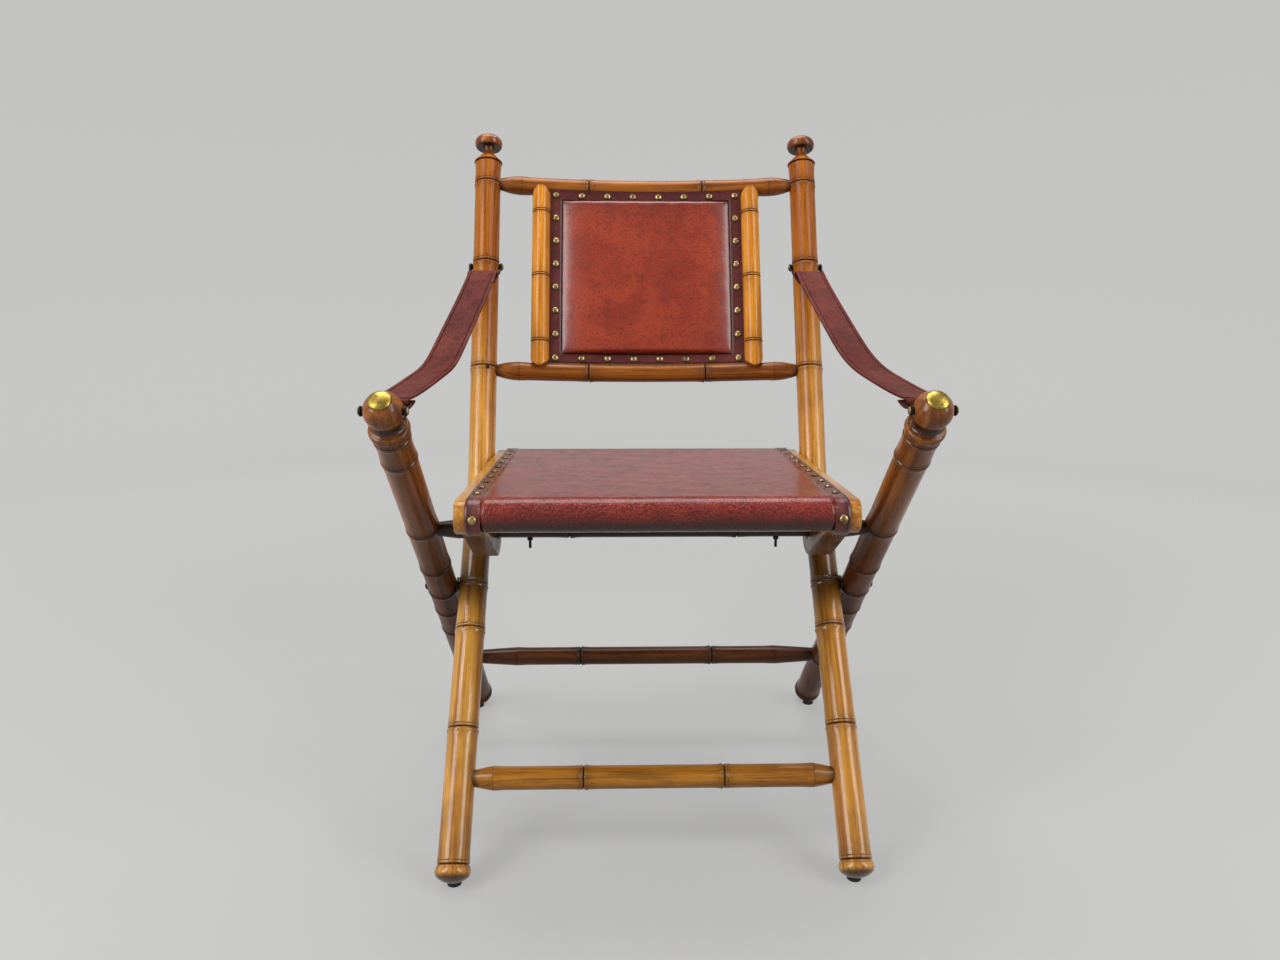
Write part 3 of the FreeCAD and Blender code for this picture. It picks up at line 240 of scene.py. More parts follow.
# Places worked out from the sizes
HALF_SPREAD = POST_SPREAD / 2
ARM_HALF_SPREAD = HALF_SPREAD + BACK_RADIUS + ARM_RADIUS + POST_GAP
BACK_HALF = HALF_SPREAD - BACK_RADIUS
CUP_RADIUS = ARM_RADIUS - CUP_SHY
ARM_HALF = ARM_HALF_SPREAD - ARM_RADIUS
BACK_REACH = TOP_RAIL_REACH + CAP_ABOVE_TOP_RAIL
SHOULDER_REACH = BACK_REACH - SHOULDER_BELOW_CAP
LEANS = {name: math.radians(lean) for name, lean in
         (("front", FRONT_LEAN), ("back", BACK_LEAN), ("arm", ARM_LEAN), ("seat", SEAT_SLOPE))}
LOWER = (LEANS["front"], 0.0, 0.0)
UPPER = (LEANS["back"], KINK_REACH * math.sin(LEANS["front"]), KINK_REACH * math.cos(LEANS["front"]))
ARM = (-LEANS["arm"], FEET_SPREAD, 0.0)
BEND_TANGENT = BEND_RADIUS * math.tan((LEANS["front"] - LEANS["back"]) / 2)
CROSSING_REACH = FEET_SPREAD * math.cos(LEANS["arm"]) / math.sin(LEANS["front"] + LEANS["arm"])
ARM_CROSSING_REACH = CROSSING_REACH * math.cos(LEANS["front"]) / math.cos(LEANS["arm"])
BOW_RADIUS = (BACK_HALF ** 2 + BACK_RAIL_BOW ** 2) / (2 * BACK_RAIL_BOW)
BOARD_BOTTOM = BOARD_TOP - BOARD_HEIGHT
BOARD_OUTER = BACK_HALF - BOARD_SIDE_GAP
BOARD_INNER = BOARD_OUTER - BOARD_WIDTH
NAILED_START = -SEAT_FRONT + BOARD_NOSE_RADIUS
NAILED_RUN = SEAT_REAR - NAILED_START
PANEL_HALF = (SLAT_SPREAD - SLAT_WIDTH) / 2 + PANEL_UNDER_SLAT
PANEL_BOTTOM = BOTTOM_RAIL_REACH + BACK_RAIL_RADIUS + FIT
PANEL_TOP = TOP_RAIL_REACH - BACK_RAIL_RADIUS - FIT
INNER_HALF = PANEL_HALF - PANEL_UNDER_SLAT - BORDER_WIDTH
FOLD_PLACE = next(joint for joint in frame["joints"] if joint["name"] == "fold")["pos_m"]
MIDDLE = CROSSING_REACH * math.sin(LEANS["front"]) - FOLD_PLACE[1] / MM
FLOOR = CROSSING_REACH * math.cos(LEANS["front"]) - FOLD_PLACE[2] / MM
ORIGIN = np.array((0.0, MIDDLE, FLOOR))


def local(place, points):
    """Points of a leaning frame, given as its lean and the Y and Z of its origin, in the drawn frame."""
    lean, y_origin, z_origin = place
    points = np.asarray(points, float)
    y = y_origin + points[..., 1] * math.cos(lean) + points[..., 2] * math.sin(lean)
    z = z_origin - points[..., 1] * math.sin(lean) + points[..., 2] * math.cos(lean)
    return np.stack([points[..., 0], y, z], -1)


def direction(place, vector):
    """A direction of a leaning frame in the drawn frame."""
    return local((place[0], 0.0, 0.0), vector)


RAIL_PLACE = local(ARM, (0.0, 0.0, SEAT_RAIL_REACH))
PIVOT_HEIGHT = RAIL_PLACE[2] + SEAT_PIVOT_ABOVE_RAIL
SEAT = (LEANS["seat"], UPPER[1] + (PIVOT_HEIGHT - UPPER[2]) * math.tan(LEANS["back"]), PIVOT_HEIGHT)
RAIL_IN_SEAT = local((-LEANS["seat"], 0.0, 0.0), RAIL_PLACE - np.array((0.0, SEAT[1], SEAT[2])))


def smooth(value):
    """Eased step from 0 to 1."""
    value = np.clip(value, 0, 1)
    return value * value * (3 - 2 * value)


def fade(distance, reach):
    """Eased fall from 1 at no distance to 0 at the reach."""
    return 1 - smooth(distance / reach)


def bell(distance, width):
    """Bell curve of the distance over the width, 1 at its middle."""
    return np.exp(-(distance / width) ** 2)


def notch(distance, half):
    """Triangle that falls evenly from 1 at its middle to 0 at its half width."""
    return np.clip(1 - np.abs(distance) / half, 0, 1)


def around(count):
    """Cosines and sines of evenly spaced angles round a circle."""
    turn = np.linspace(0, 2 * math.pi, count, endpoint=False)
    return np.cos(turn), np.sin(turn)


def unit(vectors):
    """Vectors scaled to length 1."""
    return vectors / np.linalg.norm(vectors, axis=-1, keepdims=True)


def carried(line, side, across, normal, lift):
    """A section carried along a line: each point lies so far across it and so far above it."""
    return (line[:, None, :] + np.asarray(across)[..., None] * side[:, None, :]
            + np.asarray(lift)[..., None] * normal[:, None, :])


# Meshes

X_AXIS = np.array([[1.0, 0.0, 0.0]])
SHARP_FROM = math.radians(38)
BEVEL_FROM = math.radians(35)
BEVELLED_SHARP_FROM = math.radians(50)
BEVEL_SEGMENTS = 3


def placed(name, data):
    """A new object of the scene."""
    piece = bpy.data.objects.new(name, data)
    bpy.context.scene.collection.objects.link(piece)
    return piece


class Shape:
    """Gathers grids of points into one mesh, with the grain's own coordinates and a darkening from 0 to 1 for
    stains and painted shade.
    """

    def __init__(self):
        self.points, self.faces, self.grain, self.stain_and_shade = [], [], [], []
        self.count = 0

    def grid(self, points, grain=None, stain_and_shade=0.0, wrap=True, caps=True):
        """Rows of points joined by quads; rows wrap round and the first and last row can be capped."""
        points = np.asarray(points, float)
        rows, columns = points.shape[:2]
        grain = points if grain is None else np.asarray(grain, float)
        index = self.count + np.arange(rows * columns).reshape(rows, columns)
        across = np.roll(index, -1, axis=1) if wrap else index[:, 1:]
        base = index if wrap else index[:, :-1]
        quads = np.stack([base[:-1], across[:-1], across[1:], base[1:]], -1).reshape(-1, 4)
        self.faces += quads.tolist()
        if caps:
            self.faces += [index[0][::-1].tolist(), index[-1].tolist()]
        self.points.append(points.reshape(-1, 3))
        self.grain.append(grain.reshape(-1, 3))
        self.stain_and_shade.append(np.broadcast_to(np.asarray(stain_and_shade, float), (rows, columns)).reshape(-1))
        self.count += rows * columns
        return self

    def build(self, name, material, body, replaced=(), slot=None, ride=True):
        """Makes the object in metres, in the chair's own frame, and ties it to its body and nodes."""
        mesh = bpy.data.meshes.new(name)
        places = (np.concatenate(self.points) - ORIGIN) * MM
        mesh.from_pydata(places.tolist(), [], self.faces)
        grain = (np.concatenate(self.grain) * MM).astype(np.float32).ravel()
        stain_and_shade = np.concatenate(self.stain_and_shade).astype(np.float32)
        mesh.attributes.new("grain", "FLOAT_VECTOR", "POINT").data.foreach_set("vector", grain)
        mesh.attributes.new("stain_and_shade", "FLOAT", "POINT").data.foreach_set("value", stain_and_shade)
        tool = bmesh.new()
        tool.from_mesh(mesh)
        bmesh.ops.recalc_face_normals(tool, faces=tool.faces)
        tool.to_mesh(mesh)
        tool.free()
        mesh.shade_smooth()
        mesh.set_sharp_from_angle(angle=SHARP_FROM)
        mesh.materials.append(material)
        piece = placed(name, mesh)
        if ride:
            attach(piece, body)
        if replaced:
            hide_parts(*replaced)
        return piece


def apply_modifiers(piece):
    """Bakes the piece's modifiers into its mesh."""
    graph = bpy.context.evaluated_depsgraph_get()
    mesh = bpy.data.meshes.new_from_object(piece.evaluated_get(graph), depsgraph=graph)
    piece.modifiers.clear()
    piece.data = mesh


def rounded(piece, width):
    """Rounds the piece's sharp edges by a width in millimetres."""
    bevel = piece.modifiers.new("edges", "BEVEL")
    bevel.width = width * MM
    bevel.segments = BEVEL_SEGMENTS
    bevel.limit_method = "ANGLE"
    bevel.angle_limit = BEVEL_FROM
    apply_modifiers(piece)
    piece.data.shade_smooth()
    piece.data.set_sharp_from_angle(angle=BEVELLED_SHARP_FROM)


# Turned work

SEGMENTS = 56
ROW_STEP = 7.0
RING_OFFSETS = np.linspace(-7.5, 7.5, 39)
SHAFT_END_STEP = 0.6
LINE_STAIN = 0.7
RING_SHADE = 0.28
RING_SHADE_REACH = 11.0
FOOT_SHADE = 0.85
THINNEST = 0.05

# Shifts that give each piece its own stretch of grain
POST_GRAIN = 31.0
ARM_POST_GRAIN = 57.0
DISC_GRAIN = 11.0
FINIAL_GRAIN = 83.0
SLAT_GRAIN = 41.0
BOARD_GRAIN = 29.0
STRAP_GRAIN = 100.0
STRAP_GRAIN_RUN = 220.0


def ring_relief(offset):
    """Relief of a turned ring at distances along the piece: a groove, a bead under it, a line over it."""
    groove = -GROOVE_DEPTH * notch(offset, GROOVE_HALF)
    bead = BEAD_RISE * bell(offset + BEAD_BELOW, BEAD_HALF)
    line = -LINE_DEPTH * notch(offset - LINE_ABOVE, LINE_HALF)
    return groove + bead + line


def ring_stain(offset):
    """Dark stain left in a ring and fading beside it: bell curves of the distance."""
    groove = bell(offset, GROOVE_HALF)
    line = LINE_STAIN * bell(offset - LINE_ABOVE, LINE_HALF)
    return np.maximum(np.maximum(groove, line), RING_SHADE * bell(offset, RING_SHADE_REACH))


def shaft(start, end, radius, rings, mirrored=False):
    """Rows of distance, radius and stain along a turned shaft: a slight waist between its rings' reliefs."""
    spots = [np.arange(start, end, ROW_STEP)] + [ring + RING_OFFSETS for ring in rings]
    spots = np.concatenate(spots + [[start + SHAFT_END_STEP, end - SHAFT_END_STEP, end]])
    spots = np.unique(spots.round(3))
    spots = spots[(spots >= start) & (spots <= end)]
    stations = np.asarray(list(rings) + [start, end])
    nearest = np.minimum(np.abs(spots[:, None] - stations[None, :]).min(1), FLARE)
    relief, stain_and_shade = np.zeros(len(spots)), np.zeros(len(spots))
    for ring in rings:
        offset = ring - spots if mirrored and ring < 0 else spots - ring
        relief += ring_relief(offset)
        stain_and_shade = np.maximum(stain_and_shade, ring_stain(offset))
    return np.stack([spots, radius - WAIST * smooth(nearest / FLARE) + relief, stain_and_shade], -1)


def turned(shape, rows, path, grain_shift):
    """Adds a turned surface: circles of each row's radius about a path of centres and tangents."""
    rows = np.asarray(rows, float)
    centres, tangents = path(rows[:, 0])
    side = np.zeros_like(tangents)
    side[:, 0 if abs(tangents[0, 0]) < 0.5 else 2] = 1.0
    side = unit(side - tangents * np.sum(side * tangents, -1, keepdims=True))
    cos, sin = around(SEGMENTS)
    x, y = rows[:, 1:2] * cos, rows[:, 1:2] * sin
    z = np.broadcast_to(rows[:, :1], x.shape)
    grain = np.stack([x + grain_shift, y - grain_shift, z + grain_shift * 7], -1)
    return shape.grid(carried(centres, side, x, np.cross(tangents, side), y), grain, rows[:, 2:])


def ray(start, heading):
    """Straight path: a point plus the distance times a direction."""
    start, heading = np.asarray(start, float), np.asarray(heading, float)

    def path(along):
        return start + along[:, None] * heading, np.tile(heading, (len(along), 1))
    return path


def straight(place, x):
    """Path along the Z axis of a leaning frame, at a distance to the side."""
    return ray(local(place, (x, 0.0, 0.0)), direction(place, (0.0, 0.0, 1.0)))


def kinked(x):
    """Path of the back post: straight up the lower frame, round an arc and straight up the upper frame."""
    turn = LEANS["front"] - LEANS["back"]

    def path(along):
        beyond = along - KINK_REACH
        angle = turn * np.clip((beyond + BEND_TANGENT) / (2 * BEND_TANGENT), 0, 1)
        side, flat = np.full(len(along), x), np.zeros(len(along))
        round_y = -BEND_RADIUS * (1 - np.cos(angle))
        round_z = KINK_REACH - BEND_TANGENT + BEND_RADIUS * np.sin(angle)
        lower = local(LOWER, np.stack([side, flat, along], -1))
        bend = local(LOWER, np.stack([side, round_y, round_z], -1))
        upper = local(UPPER, np.stack([side, flat, beyond], -1))
        centres = np.where((beyond > -BEND_TANGENT)[:, None], bend, lower)
        centres = np.where((beyond >= BEND_TANGENT)[:, None], upper, centres)
        lean = LEANS["front"] - angle
        return centres, np.stack([flat, np.sin(lean), np.cos(lean)], -1)
    return path


def along_x(place, reach, bow=0.0):
    """Path from side to side at a reach in a frame, straight or bowed back in the middle."""
    def path(along):
        turn = np.arcsin(along / BOW_RADIUS) if bow else np.zeros(len(along))
        y = bow - BOW_RADIUS * (1 - np.cos(turn))
        points = np.stack([along, y, np.full(len(along), reach)], -1)
        tangents = np.stack([np.cos(turn), -np.sin(turn), np.zeros(len(along))], -1)
        return local(place, points), direction(place, tangents)
    return path


def foot_reach(radius, lean):
    """Reach of a foot's widest ring: its corner arc's height over the glide by the lean's cosine."""
    ball = radius + FOOT_SWELL
    corner = ball * FOOT_CORNER_SHARE
    return (FLOOR + GLIDE_HEIGHT + (ball - corner) * math.sin(lean) + corner) / math.cos(lean)


def foot_rows(radius, centre):
    """Foot from its lowest point: a flat crown arc, then a corner arc up to the widest ring."""
    ball = radius + FOOT_SWELL
    corner = ball * FOOT_CORNER_SHARE
    drop = ball * FOOT_END_SHARE - corner
    lift = ((ball - corner) ** 2 - drop ** 2) / (2 * drop)
    joint = math.atan2(ball - corner, lift)
    crown = lift + drop + corner
    low = np.linspace(0.02, joint, 9)[:-1]
    high = np.linspace(joint, math.pi / 2, 10)
    shade = FOOT_SHADE * fade(high - joint, math.pi / 2 - joint)
    bottom = np.stack([centre + lift - crown * np.cos(low), crown * np.sin(low), FOOT_SHADE + 0 * low], -1)
    side = np.stack([centre - corner * np.cos(high), ball - corner + corner * np.sin(high), shade], -1)
    neck = [(centre + FOOT_RING_RISE / 2, ball - 0.3, 0.15)]
    return np.concatenate([bottom, side, neck]), centre + FOOT_RING_RISE


def rail_rows(half, radius, end_radius, taper, bulge_share):
    """Turned rail with two rings, whose ends are cones that swell a little and go into the posts."""
    groove = RAIL_GROOVE_SHARE * half
    middle = shaft(-half + taper, half - taper, radius, (-groove, groove), mirrored=True)
    share = np.linspace(0, 1, 12)
    cone = end_radius + (radius - end_radius) * (share + 4 * bulge_share * share * (1 - share))
    left = np.stack([-half + taper * share, cone, 0.55 * (1 - smooth(share * 3)) + 0.12], -1)[:-1]
    left = np.concatenate([[[-half - RAIL_INTO_POST, end_radius, 1.0]], left])
    right = left[::-1] * np.array((-1, 1, 1))
    middle[0, 2] = middle[-1, 2] = 0.45
    return np.concatenate([left, middle, right])


def back_post(name, side, material):
    """Back post from its foot to the cone under the finial, with a thin rim where the cone starts."""
    foot, ring = foot_rows(BACK_RADIUS, foot_reach(BACK_RADIUS, LEANS["front"]))
    rings = [share * KINK_REACH for share in LOWER_RING_SHARES] + [CROSSING_REACH]
    rings += [KINK_REACH + share * BACK_REACH for share in UPPER_RING_SHARES] + [KINK_REACH + TOP_RAIL_REACH]
    top = KINK_REACH + SHOULDER_REACH
    flange = top - SHOULDER_FLANGE
    lip = BACK_RADIUS + SHOULDER_LIP
    groove = BACK_RADIUS - SHOULDER_GROOVE
    cone = top - SHOULDER_CHAMFER
    body = shaft(foot[-1][0] + 1, flange - 1.2, BACK_RADIUS, [ring] + rings)
    reach = body[:, 0]
    # Painted shadow of the seat: the post darkens from its second lower ring to the kink, fading in at each
    # end; the foot's wear is kept.
    under_seat = smooth((reach - rings[1]) / UNDER_SEAT_FADE) * smooth((KINK_REACH - reach) / UNDER_SEAT_FADE)
    worn_foot = FOOT_STAIN * fade(reach - ring, FOOT_STAIN_REACH)
    body[:, 2] = np.maximum(np.maximum(body[:, 2], UNDER_SEAT_PAINTED_SHADE * under_seat), worn_foot)
    shoulder = [
        (flange - SHOULDER_GROOVE, groove, 1.0),
        (flange + 0.3, groove, 1.0),
        (flange + 0.8, lip - 0.3, 0.4),
        (flange + 1.3, lip, 0.0),
        (cone, lip, 0.0),
        (cone + 0.8, lip - 0.7, 0.0),
        (top - SHOULDER_SLOPE, SHOULDER_TOP_RADIUS + SHOULDER_SLOPE, 0.0),
        # Painted shade under the finial's cap: the shoulder darkens towards the neck.
        (top - SHOULDER_EDGE, SHOULDER_TOP_RADIUS + SHOULDER_EDGE, 0.3),
        (top, SHOULDER_TOP_RADIUS - 0.4, 0.7),
        (top, NECK_RADIUS - 2, 0.9),
    ]
    rows = np.concatenate([foot, body, shoulder])
    return turned(Shape(), rows, kinked(side * HALF_SPREAD), POST_GRAIN * side).build(
        "turned_back_post_" + name, material, "back_frame", ["back_post_" + name], "varnished_wood")


def arm_post(name, side, material):
    """Arm post with a round bead and a dished cup under its ball; bead, cup and ball are arcs of sines."""
    foot, ring = foot_rows(ARM_RADIUS, foot_reach(ARM_RADIUS, LEANS["arm"]))
    collar = ARM_REACH - COLLAR_BELOW_BALL
    rings = [share * ARM_REACH for share in ARM_RING_SHARES]
    rings += [ARM_CROSSING_REACH, REAR_STRETCHER_REACH, collar]
    body = shaft(foot[-1][0] + 1, collar + 5, ARM_RADIUS, [ring] + rings)
    turn = np.radians(np.linspace(-70, 95, 14))
    bead_rise = collar + CUP_BEAD_RISE + CUP_BEAD_HALF * np.sin(turn)
    bead = np.stack([bead_rise, CUP_RADIUS + CUP_BEAD_SWELL * np.cos(turn), 0.1 + 0 * turn], -1)
    share = np.linspace(0.15, 1, 8)
    dish = CUP_RADIUS - (CUP_RADIUS - BALL_NECK_RADIUS) * np.sin(share * math.pi / 2)
    # Painted shade under the ball: the cup darkens towards the ball's neck, and the ball's underside is
    # darkened.
    cup = np.stack([collar + CUP_RISE + CUP_HEIGHT * share ** 2, dish, 0.45 + 0.5 * share], -1)
    ball_foot = math.acos(BALL_NECK_RADIUS / BALL_RADIUS)
    angle = np.linspace(-ball_foot, math.acos(DISC_RADIUS / BALL_RADIUS), 26)
    shade = 0.9 * smooth((-angle - ball_foot + 0.3) / 0.3)
    ball = np.stack([ARM_REACH + BALL_RADIUS * np.sin(angle), BALL_RADIUS * np.cos(angle), shade], -1)
    rows = np.concatenate([foot, body, bead, cup, ball])
    return turned(Shape(), rows, straight(ARM, side * ARM_HALF_SPREAD), ARM_POST_GRAIN * side).build(
        "turned_arm_post_" + name, material, "arm_frame", ["arm_post_" + name], "dark_wood")


def arm_disc(name, side, material):
    """Domed brass disc let into the ball: a quarter turn of a flattened circle behind a fine dark rim."""
    seat = ARM_REACH + math.sqrt(BALL_RADIUS ** 2 - DISC_RADIUS ** 2)
    share = np.linspace(0, 1, 14)
    angle = share * math.pi / 2
    radius = np.maximum(DISC_RADIUS * np.cos(angle) ** 0.9, THINNEST)
    rise = seat + DISC_RIM + (DISC_CROWN - DISC_RIM) * np.sin(angle) ** 1.1
    crown = np.stack([rise, radius, 0.5 * (1 - share) ** 4], -1)
    rim = [(seat - 1.0, DISC_RADIUS - 0.05, 1.0), (seat + 0.1, DISC_RADIUS + 0.1, 0.9)]
    rows = np.concatenate([rim, crown])
    return turned(Shape(), rows, straight(ARM, side * ARM_HALF_SPREAD), DISC_GRAIN * side).build(
        "domed_arm_disc_" + name, material, "arm_frame", ["arm_disc_" + name], "brass")


def finial(name, side, material):
    """Mushroom cap: a straight neck, a flat underside darkened as painted shade, a round edge and a low
    elliptical crown.
    """
    under = BACK_REACH - CAP_UNDERSIDE
    # The neck is darkened most next to the cap's underside: painted shade under the cap.
    neck = [
        (SHOULDER_REACH - 1, NECK_RADIUS + 1.2, 0.6),
        (SHOULDER_REACH + 1.2, NECK_RADIUS, 0.25),
        (under - 2, NECK_RADIUS, 0.35),
        (under, NECK_RADIUS + 0.6, 0.8),
        (under, CAP_UNDERSIDE_RADIUS - 0.8, 0.9),
    ]
    turn = np.linspace(0, math.pi / 2, 8)
    edge_radius = CAP_UNDERSIDE_RADIUS + (CAP_RADIUS - CAP_UNDERSIDE_RADIUS) * np.sin(turn)
    edge = np.stack([under + CAP_UNDERSIDE * (1 - np.cos(turn)), edge_radius, 0.8 * (1 - smooth(turn))], -1)
    turn = np.linspace(0.09, math.pi / 2, 18)
    crown_radius = np.maximum(CAP_RADIUS * np.cos(turn), THINNEST)
    crown = np.stack([BACK_REACH + CAP_RISE * np.sin(turn), crown_radius, 0 * turn], -1)
    rows = np.concatenate([neck, edge, crown])
    return turned(Shape(), rows, straight(UPPER, side * HALF_SPREAD), FINIAL_GRAIN * side).build(
        "mushroom_finial_" + name, material, "back_frame", ["finial_" + name], "varnished_wood")


def cross_members(materials):
    """The two bowed rails of the back, the two stretchers and the rail under the seat."""
    bulge = BACK_RAIL_BULGE_SHARE
    bowed = rail_rows(BACK_HALF, BACK_RAIL_RADIUS, BACK_RAIL_END_RADIUS, BACK_RAIL_TAPER, bulge)
    bulge = STRETCHER_BULGE_SHARE
    front = rail_rows(BACK_HALF, FRONT_STRETCHER_RADIUS, STRETCHER_END_RADIUS, STRETCHER_TAPER, bulge)
    rear = rail_rows(ARM_HALF, REAR_STRETCHER_RADIUS, STRETCHER_END_RADIUS, REAR_TAPER, bulge)
    under_seat = rail_rows(ARM_HALF, SEAT_RAIL_RADIUS, SEAT_RAIL_END_RADIUS, STRETCHER_TAPER, bulge)
    bow = BACK_RAIL_BOW
    members = (
        ("back_top_rail", bowed, UPPER, TOP_RAIL_REACH, bow, "back_frame", "varnished_wood", 23.0),
        ("back_bottom_rail", bowed, UPPER, BOTTOM_RAIL_REACH, bow, "back_frame", "varnished_wood", 47.0),
        ("front_stretcher", front, LOWER, FRONT_STRETCHER_REACH, 0.0, "back_frame", "varnished_wood", 71.0),
        ("rear_stretcher", rear, ARM, REAR_STRETCHER_REACH, 0.0, "arm_frame", "dark_wood", 95.0),
        ("seat_rail", under_seat, ARM, SEAT_RAIL_REACH, 0.0, "arm_frame", "dark_wood", 13.0),
    )
    for node, rows, place, reach, bowed_by, body, slot, shift in members:
        turned(Shape(), rows, along_x(place, reach, bowed_by), shift).build(
            "turned_" + node, materials[node], body, [node], slot)


# Back

SLAT_RING_DEPTH = 0.9
SLAT_RING_WIDTH = 1.0
SLAT_RING_BEAD = 0.45
SLAT_BEAD_HALF = 1.2
SLAT_RING_STAIN = 0.9
SLAT_RING_SHADE_REACH = 9.0
PAD_GAP = 0.3
PAD_FACE_DROP = 1.4
PAD_SIDE_DROP = 0.8
PAD_CROWN = 1.0
PAD_PUCKER = 0.45
PAD_PUCKER_REACHES = (10, 16)
PAD_EDGE_SHADE = 5.0
PAD_SIDE_SHADE = 26.0
PAD_TOP_SHADE = 38.0
COVER_ROLL = 5.0
COVER_SHADE = 8.0


def bow_y(x, offset):
    """Y in the upper frame of a surface that lies so far in front of the bowed centre line."""
    return BACK_RAIL_BOW - BOW_RADIUS + np.sqrt((BOW_RADIUS - offset) ** 2 - np.asarray(x, float) ** 2)


def slat(name, side, material):
    """Half-round slat: circle arcs across it, narrowed to a point at each end, with three pairs of rings."""
    low = BOTTOM_RAIL_REACH + SLAT_OVER_BOTTOM
    high = TOP_RAIL_REACH - SLAT_UNDER_TOP
    half = SLAT_WIDTH / 2
    radius = (half ** 2 + SLAT_DEPTH ** 2) / (2 * SLAT_DEPTH)
    centre = SLAT_BACK - SLAT_DEPTH + radius
    rings = [low + (high - low) * share for share in SLAT_RING_SHARES]
    spots = [np.arange(low + SLAT_POINT, high - SLAT_POINT, ROW_STEP)]
    spots += [ring + np.linspace(-6, 6, 41) for ring in rings]
    spots += [np.linspace(low, low + SLAT_POINT, 14), np.linspace(high - SLAT_POINT, high, 14)]
    spots = np.unique(np.concatenate(spots).round(3))
    tip = np.clip(np.minimum(spots - low, high - spots) / SLAT_POINT, 0, 1)
    width = half * np.clip(np.sin(tip * math.pi / 2) ** 0.8, 0.02, 1)
    relief, stain_and_shade = np.zeros(len(spots)), 0.5 * (1 - smooth(tip * 2.5))
    for ring in rings:
        offset = spots - ring
        for shift in (-SLAT_RING_HALF, SLAT_RING_HALF):
            relief -= SLAT_RING_DEPTH * notch(offset - shift, SLAT_RING_WIDTH)
            stain_and_shade = np.maximum(stain_and_shade, bell(offset - shift, SLAT_RING_STAIN))
        relief += SLAT_RING_BEAD * bell(offset, SLAT_BEAD_HALF)
        stain_and_shade = np.maximum(stain_and_shade, 0.2 * bell(offset, SLAT_RING_SHADE_REACH))
    share = np.linspace(-1, 1, 25)
    x = width[:, None] * np.sin(share * math.pi / 2)[None, :]
    y = centre - np.sqrt(np.maximum((radius + relief[:, None]) ** 2 - x ** 2, 0.0))
    front = np.stack([x, np.minimum(y, SLAT_BACK), np.broadcast_to(spots[:, None], x.shape)], -1)
    back = front[:, [-1, 0]].copy()
    back[..., 1] = SLAT_BACK + 2.0
    points = np.concatenate([front, back], 1)
    points[..., 0] += side * SLAT_SPREAD / 2
    grain = points + np.array((SLAT_GRAIN * side, 0.0, 0.0))
    # Painted shade: both flanks of the half-round slat are darkened.
    edge = np.abs(np.concatenate([share, [1, -1]])) ** 12
    stain_and_shade = np.maximum(stain_and_shade[:, None], 0.45 * edge[None, :])
    return Shape().grid(local(UPPER, points), grain, stain_and_shade).build(
        "ringed_slat_" + name, material, "back_frame", ["back_slat_" + name], "pale_wood")


def lap_lift(z):
    """How far the border stands forward where it laps over the top rail: the square of the way up."""
    up = np.clip((z - PANEL_TOP + TOP_BORDER_WIDTH) / (TOP_BORDER_WIDTH + BORDER_LAP), 0, 1)
    return BORDER_LAP_LIFT * up ** 2


def back_border(material):
    """Four mitred strips of leather round the pad: rectangular rings of points from outer to inner edge."""
    face = PANEL_FACE + BORDER_THICKNESS
    share = np.array((0.0, 0.0, 0.03, 0.08, 0.25, 0.5, 0.7, 0.9, 0.96, 1.0, 1.0))
    lift = np.array((-1.6, -0.5, -0.1, 0.0, 0.2, 0.25, 0.2, 0.1, 0.55, 0.1, -1.6)) + face
    # Painted shade: the strip is darkest at both edges, where it dips below its neighbours.
    stain_and_shade = np.array((1.0, 0.8, 0.5, 0.2, 0.0, 0.0, 0.1, 0.3, 0.0, 0.9, 1.0))
    half = PANEL_HALF + (INNER_HALF - PANEL_HALF) * share
    low = PANEL_BOTTOM + BOTTOM_BORDER_WIDTH * share
    high = PANEL_TOP + BORDER_LAP - (TOP_BORDER_WIDTH + BORDER_LAP) * share
    corner = np.arange(5)
    step = np.linspace(0, 4, 160, endpoint=False)
    x = half[:, None] * np.interp(step, corner, (-1, 1, 1, -1, -1))[None, :]
    z = low[:, None] + (high - low)[:, None] * np.interp(step, corner, (0, 0, 1, 1, 0))[None, :]
    grid = np.stack([x, bow_y(x, lift[:, None] + lap_lift(z)), z], -1)
    return Shape().grid(local(UPPER, grid), grid, stain_and_shade[:, None], caps=False).build(
        "leather_border", material, "back_frame", ["back_border"], "border_leather")


def quarter_roll(distance, width):
    """Height from 0 to 1 of an edge that rolls over as a quarter circle within a width."""
    return np.sqrt(np.clip(1 - (1 - np.clip(distance / width, 0, 1)) ** 2, 0, 1))


def to_edges(count):
    """Places from -1 to 1 that crowd towards the edges: one less a power of the way in."""
    share = np.linspace(-1, 1, count)
    return np.sign(share) * (1 - (1 - np.abs(share)) ** 1.5)


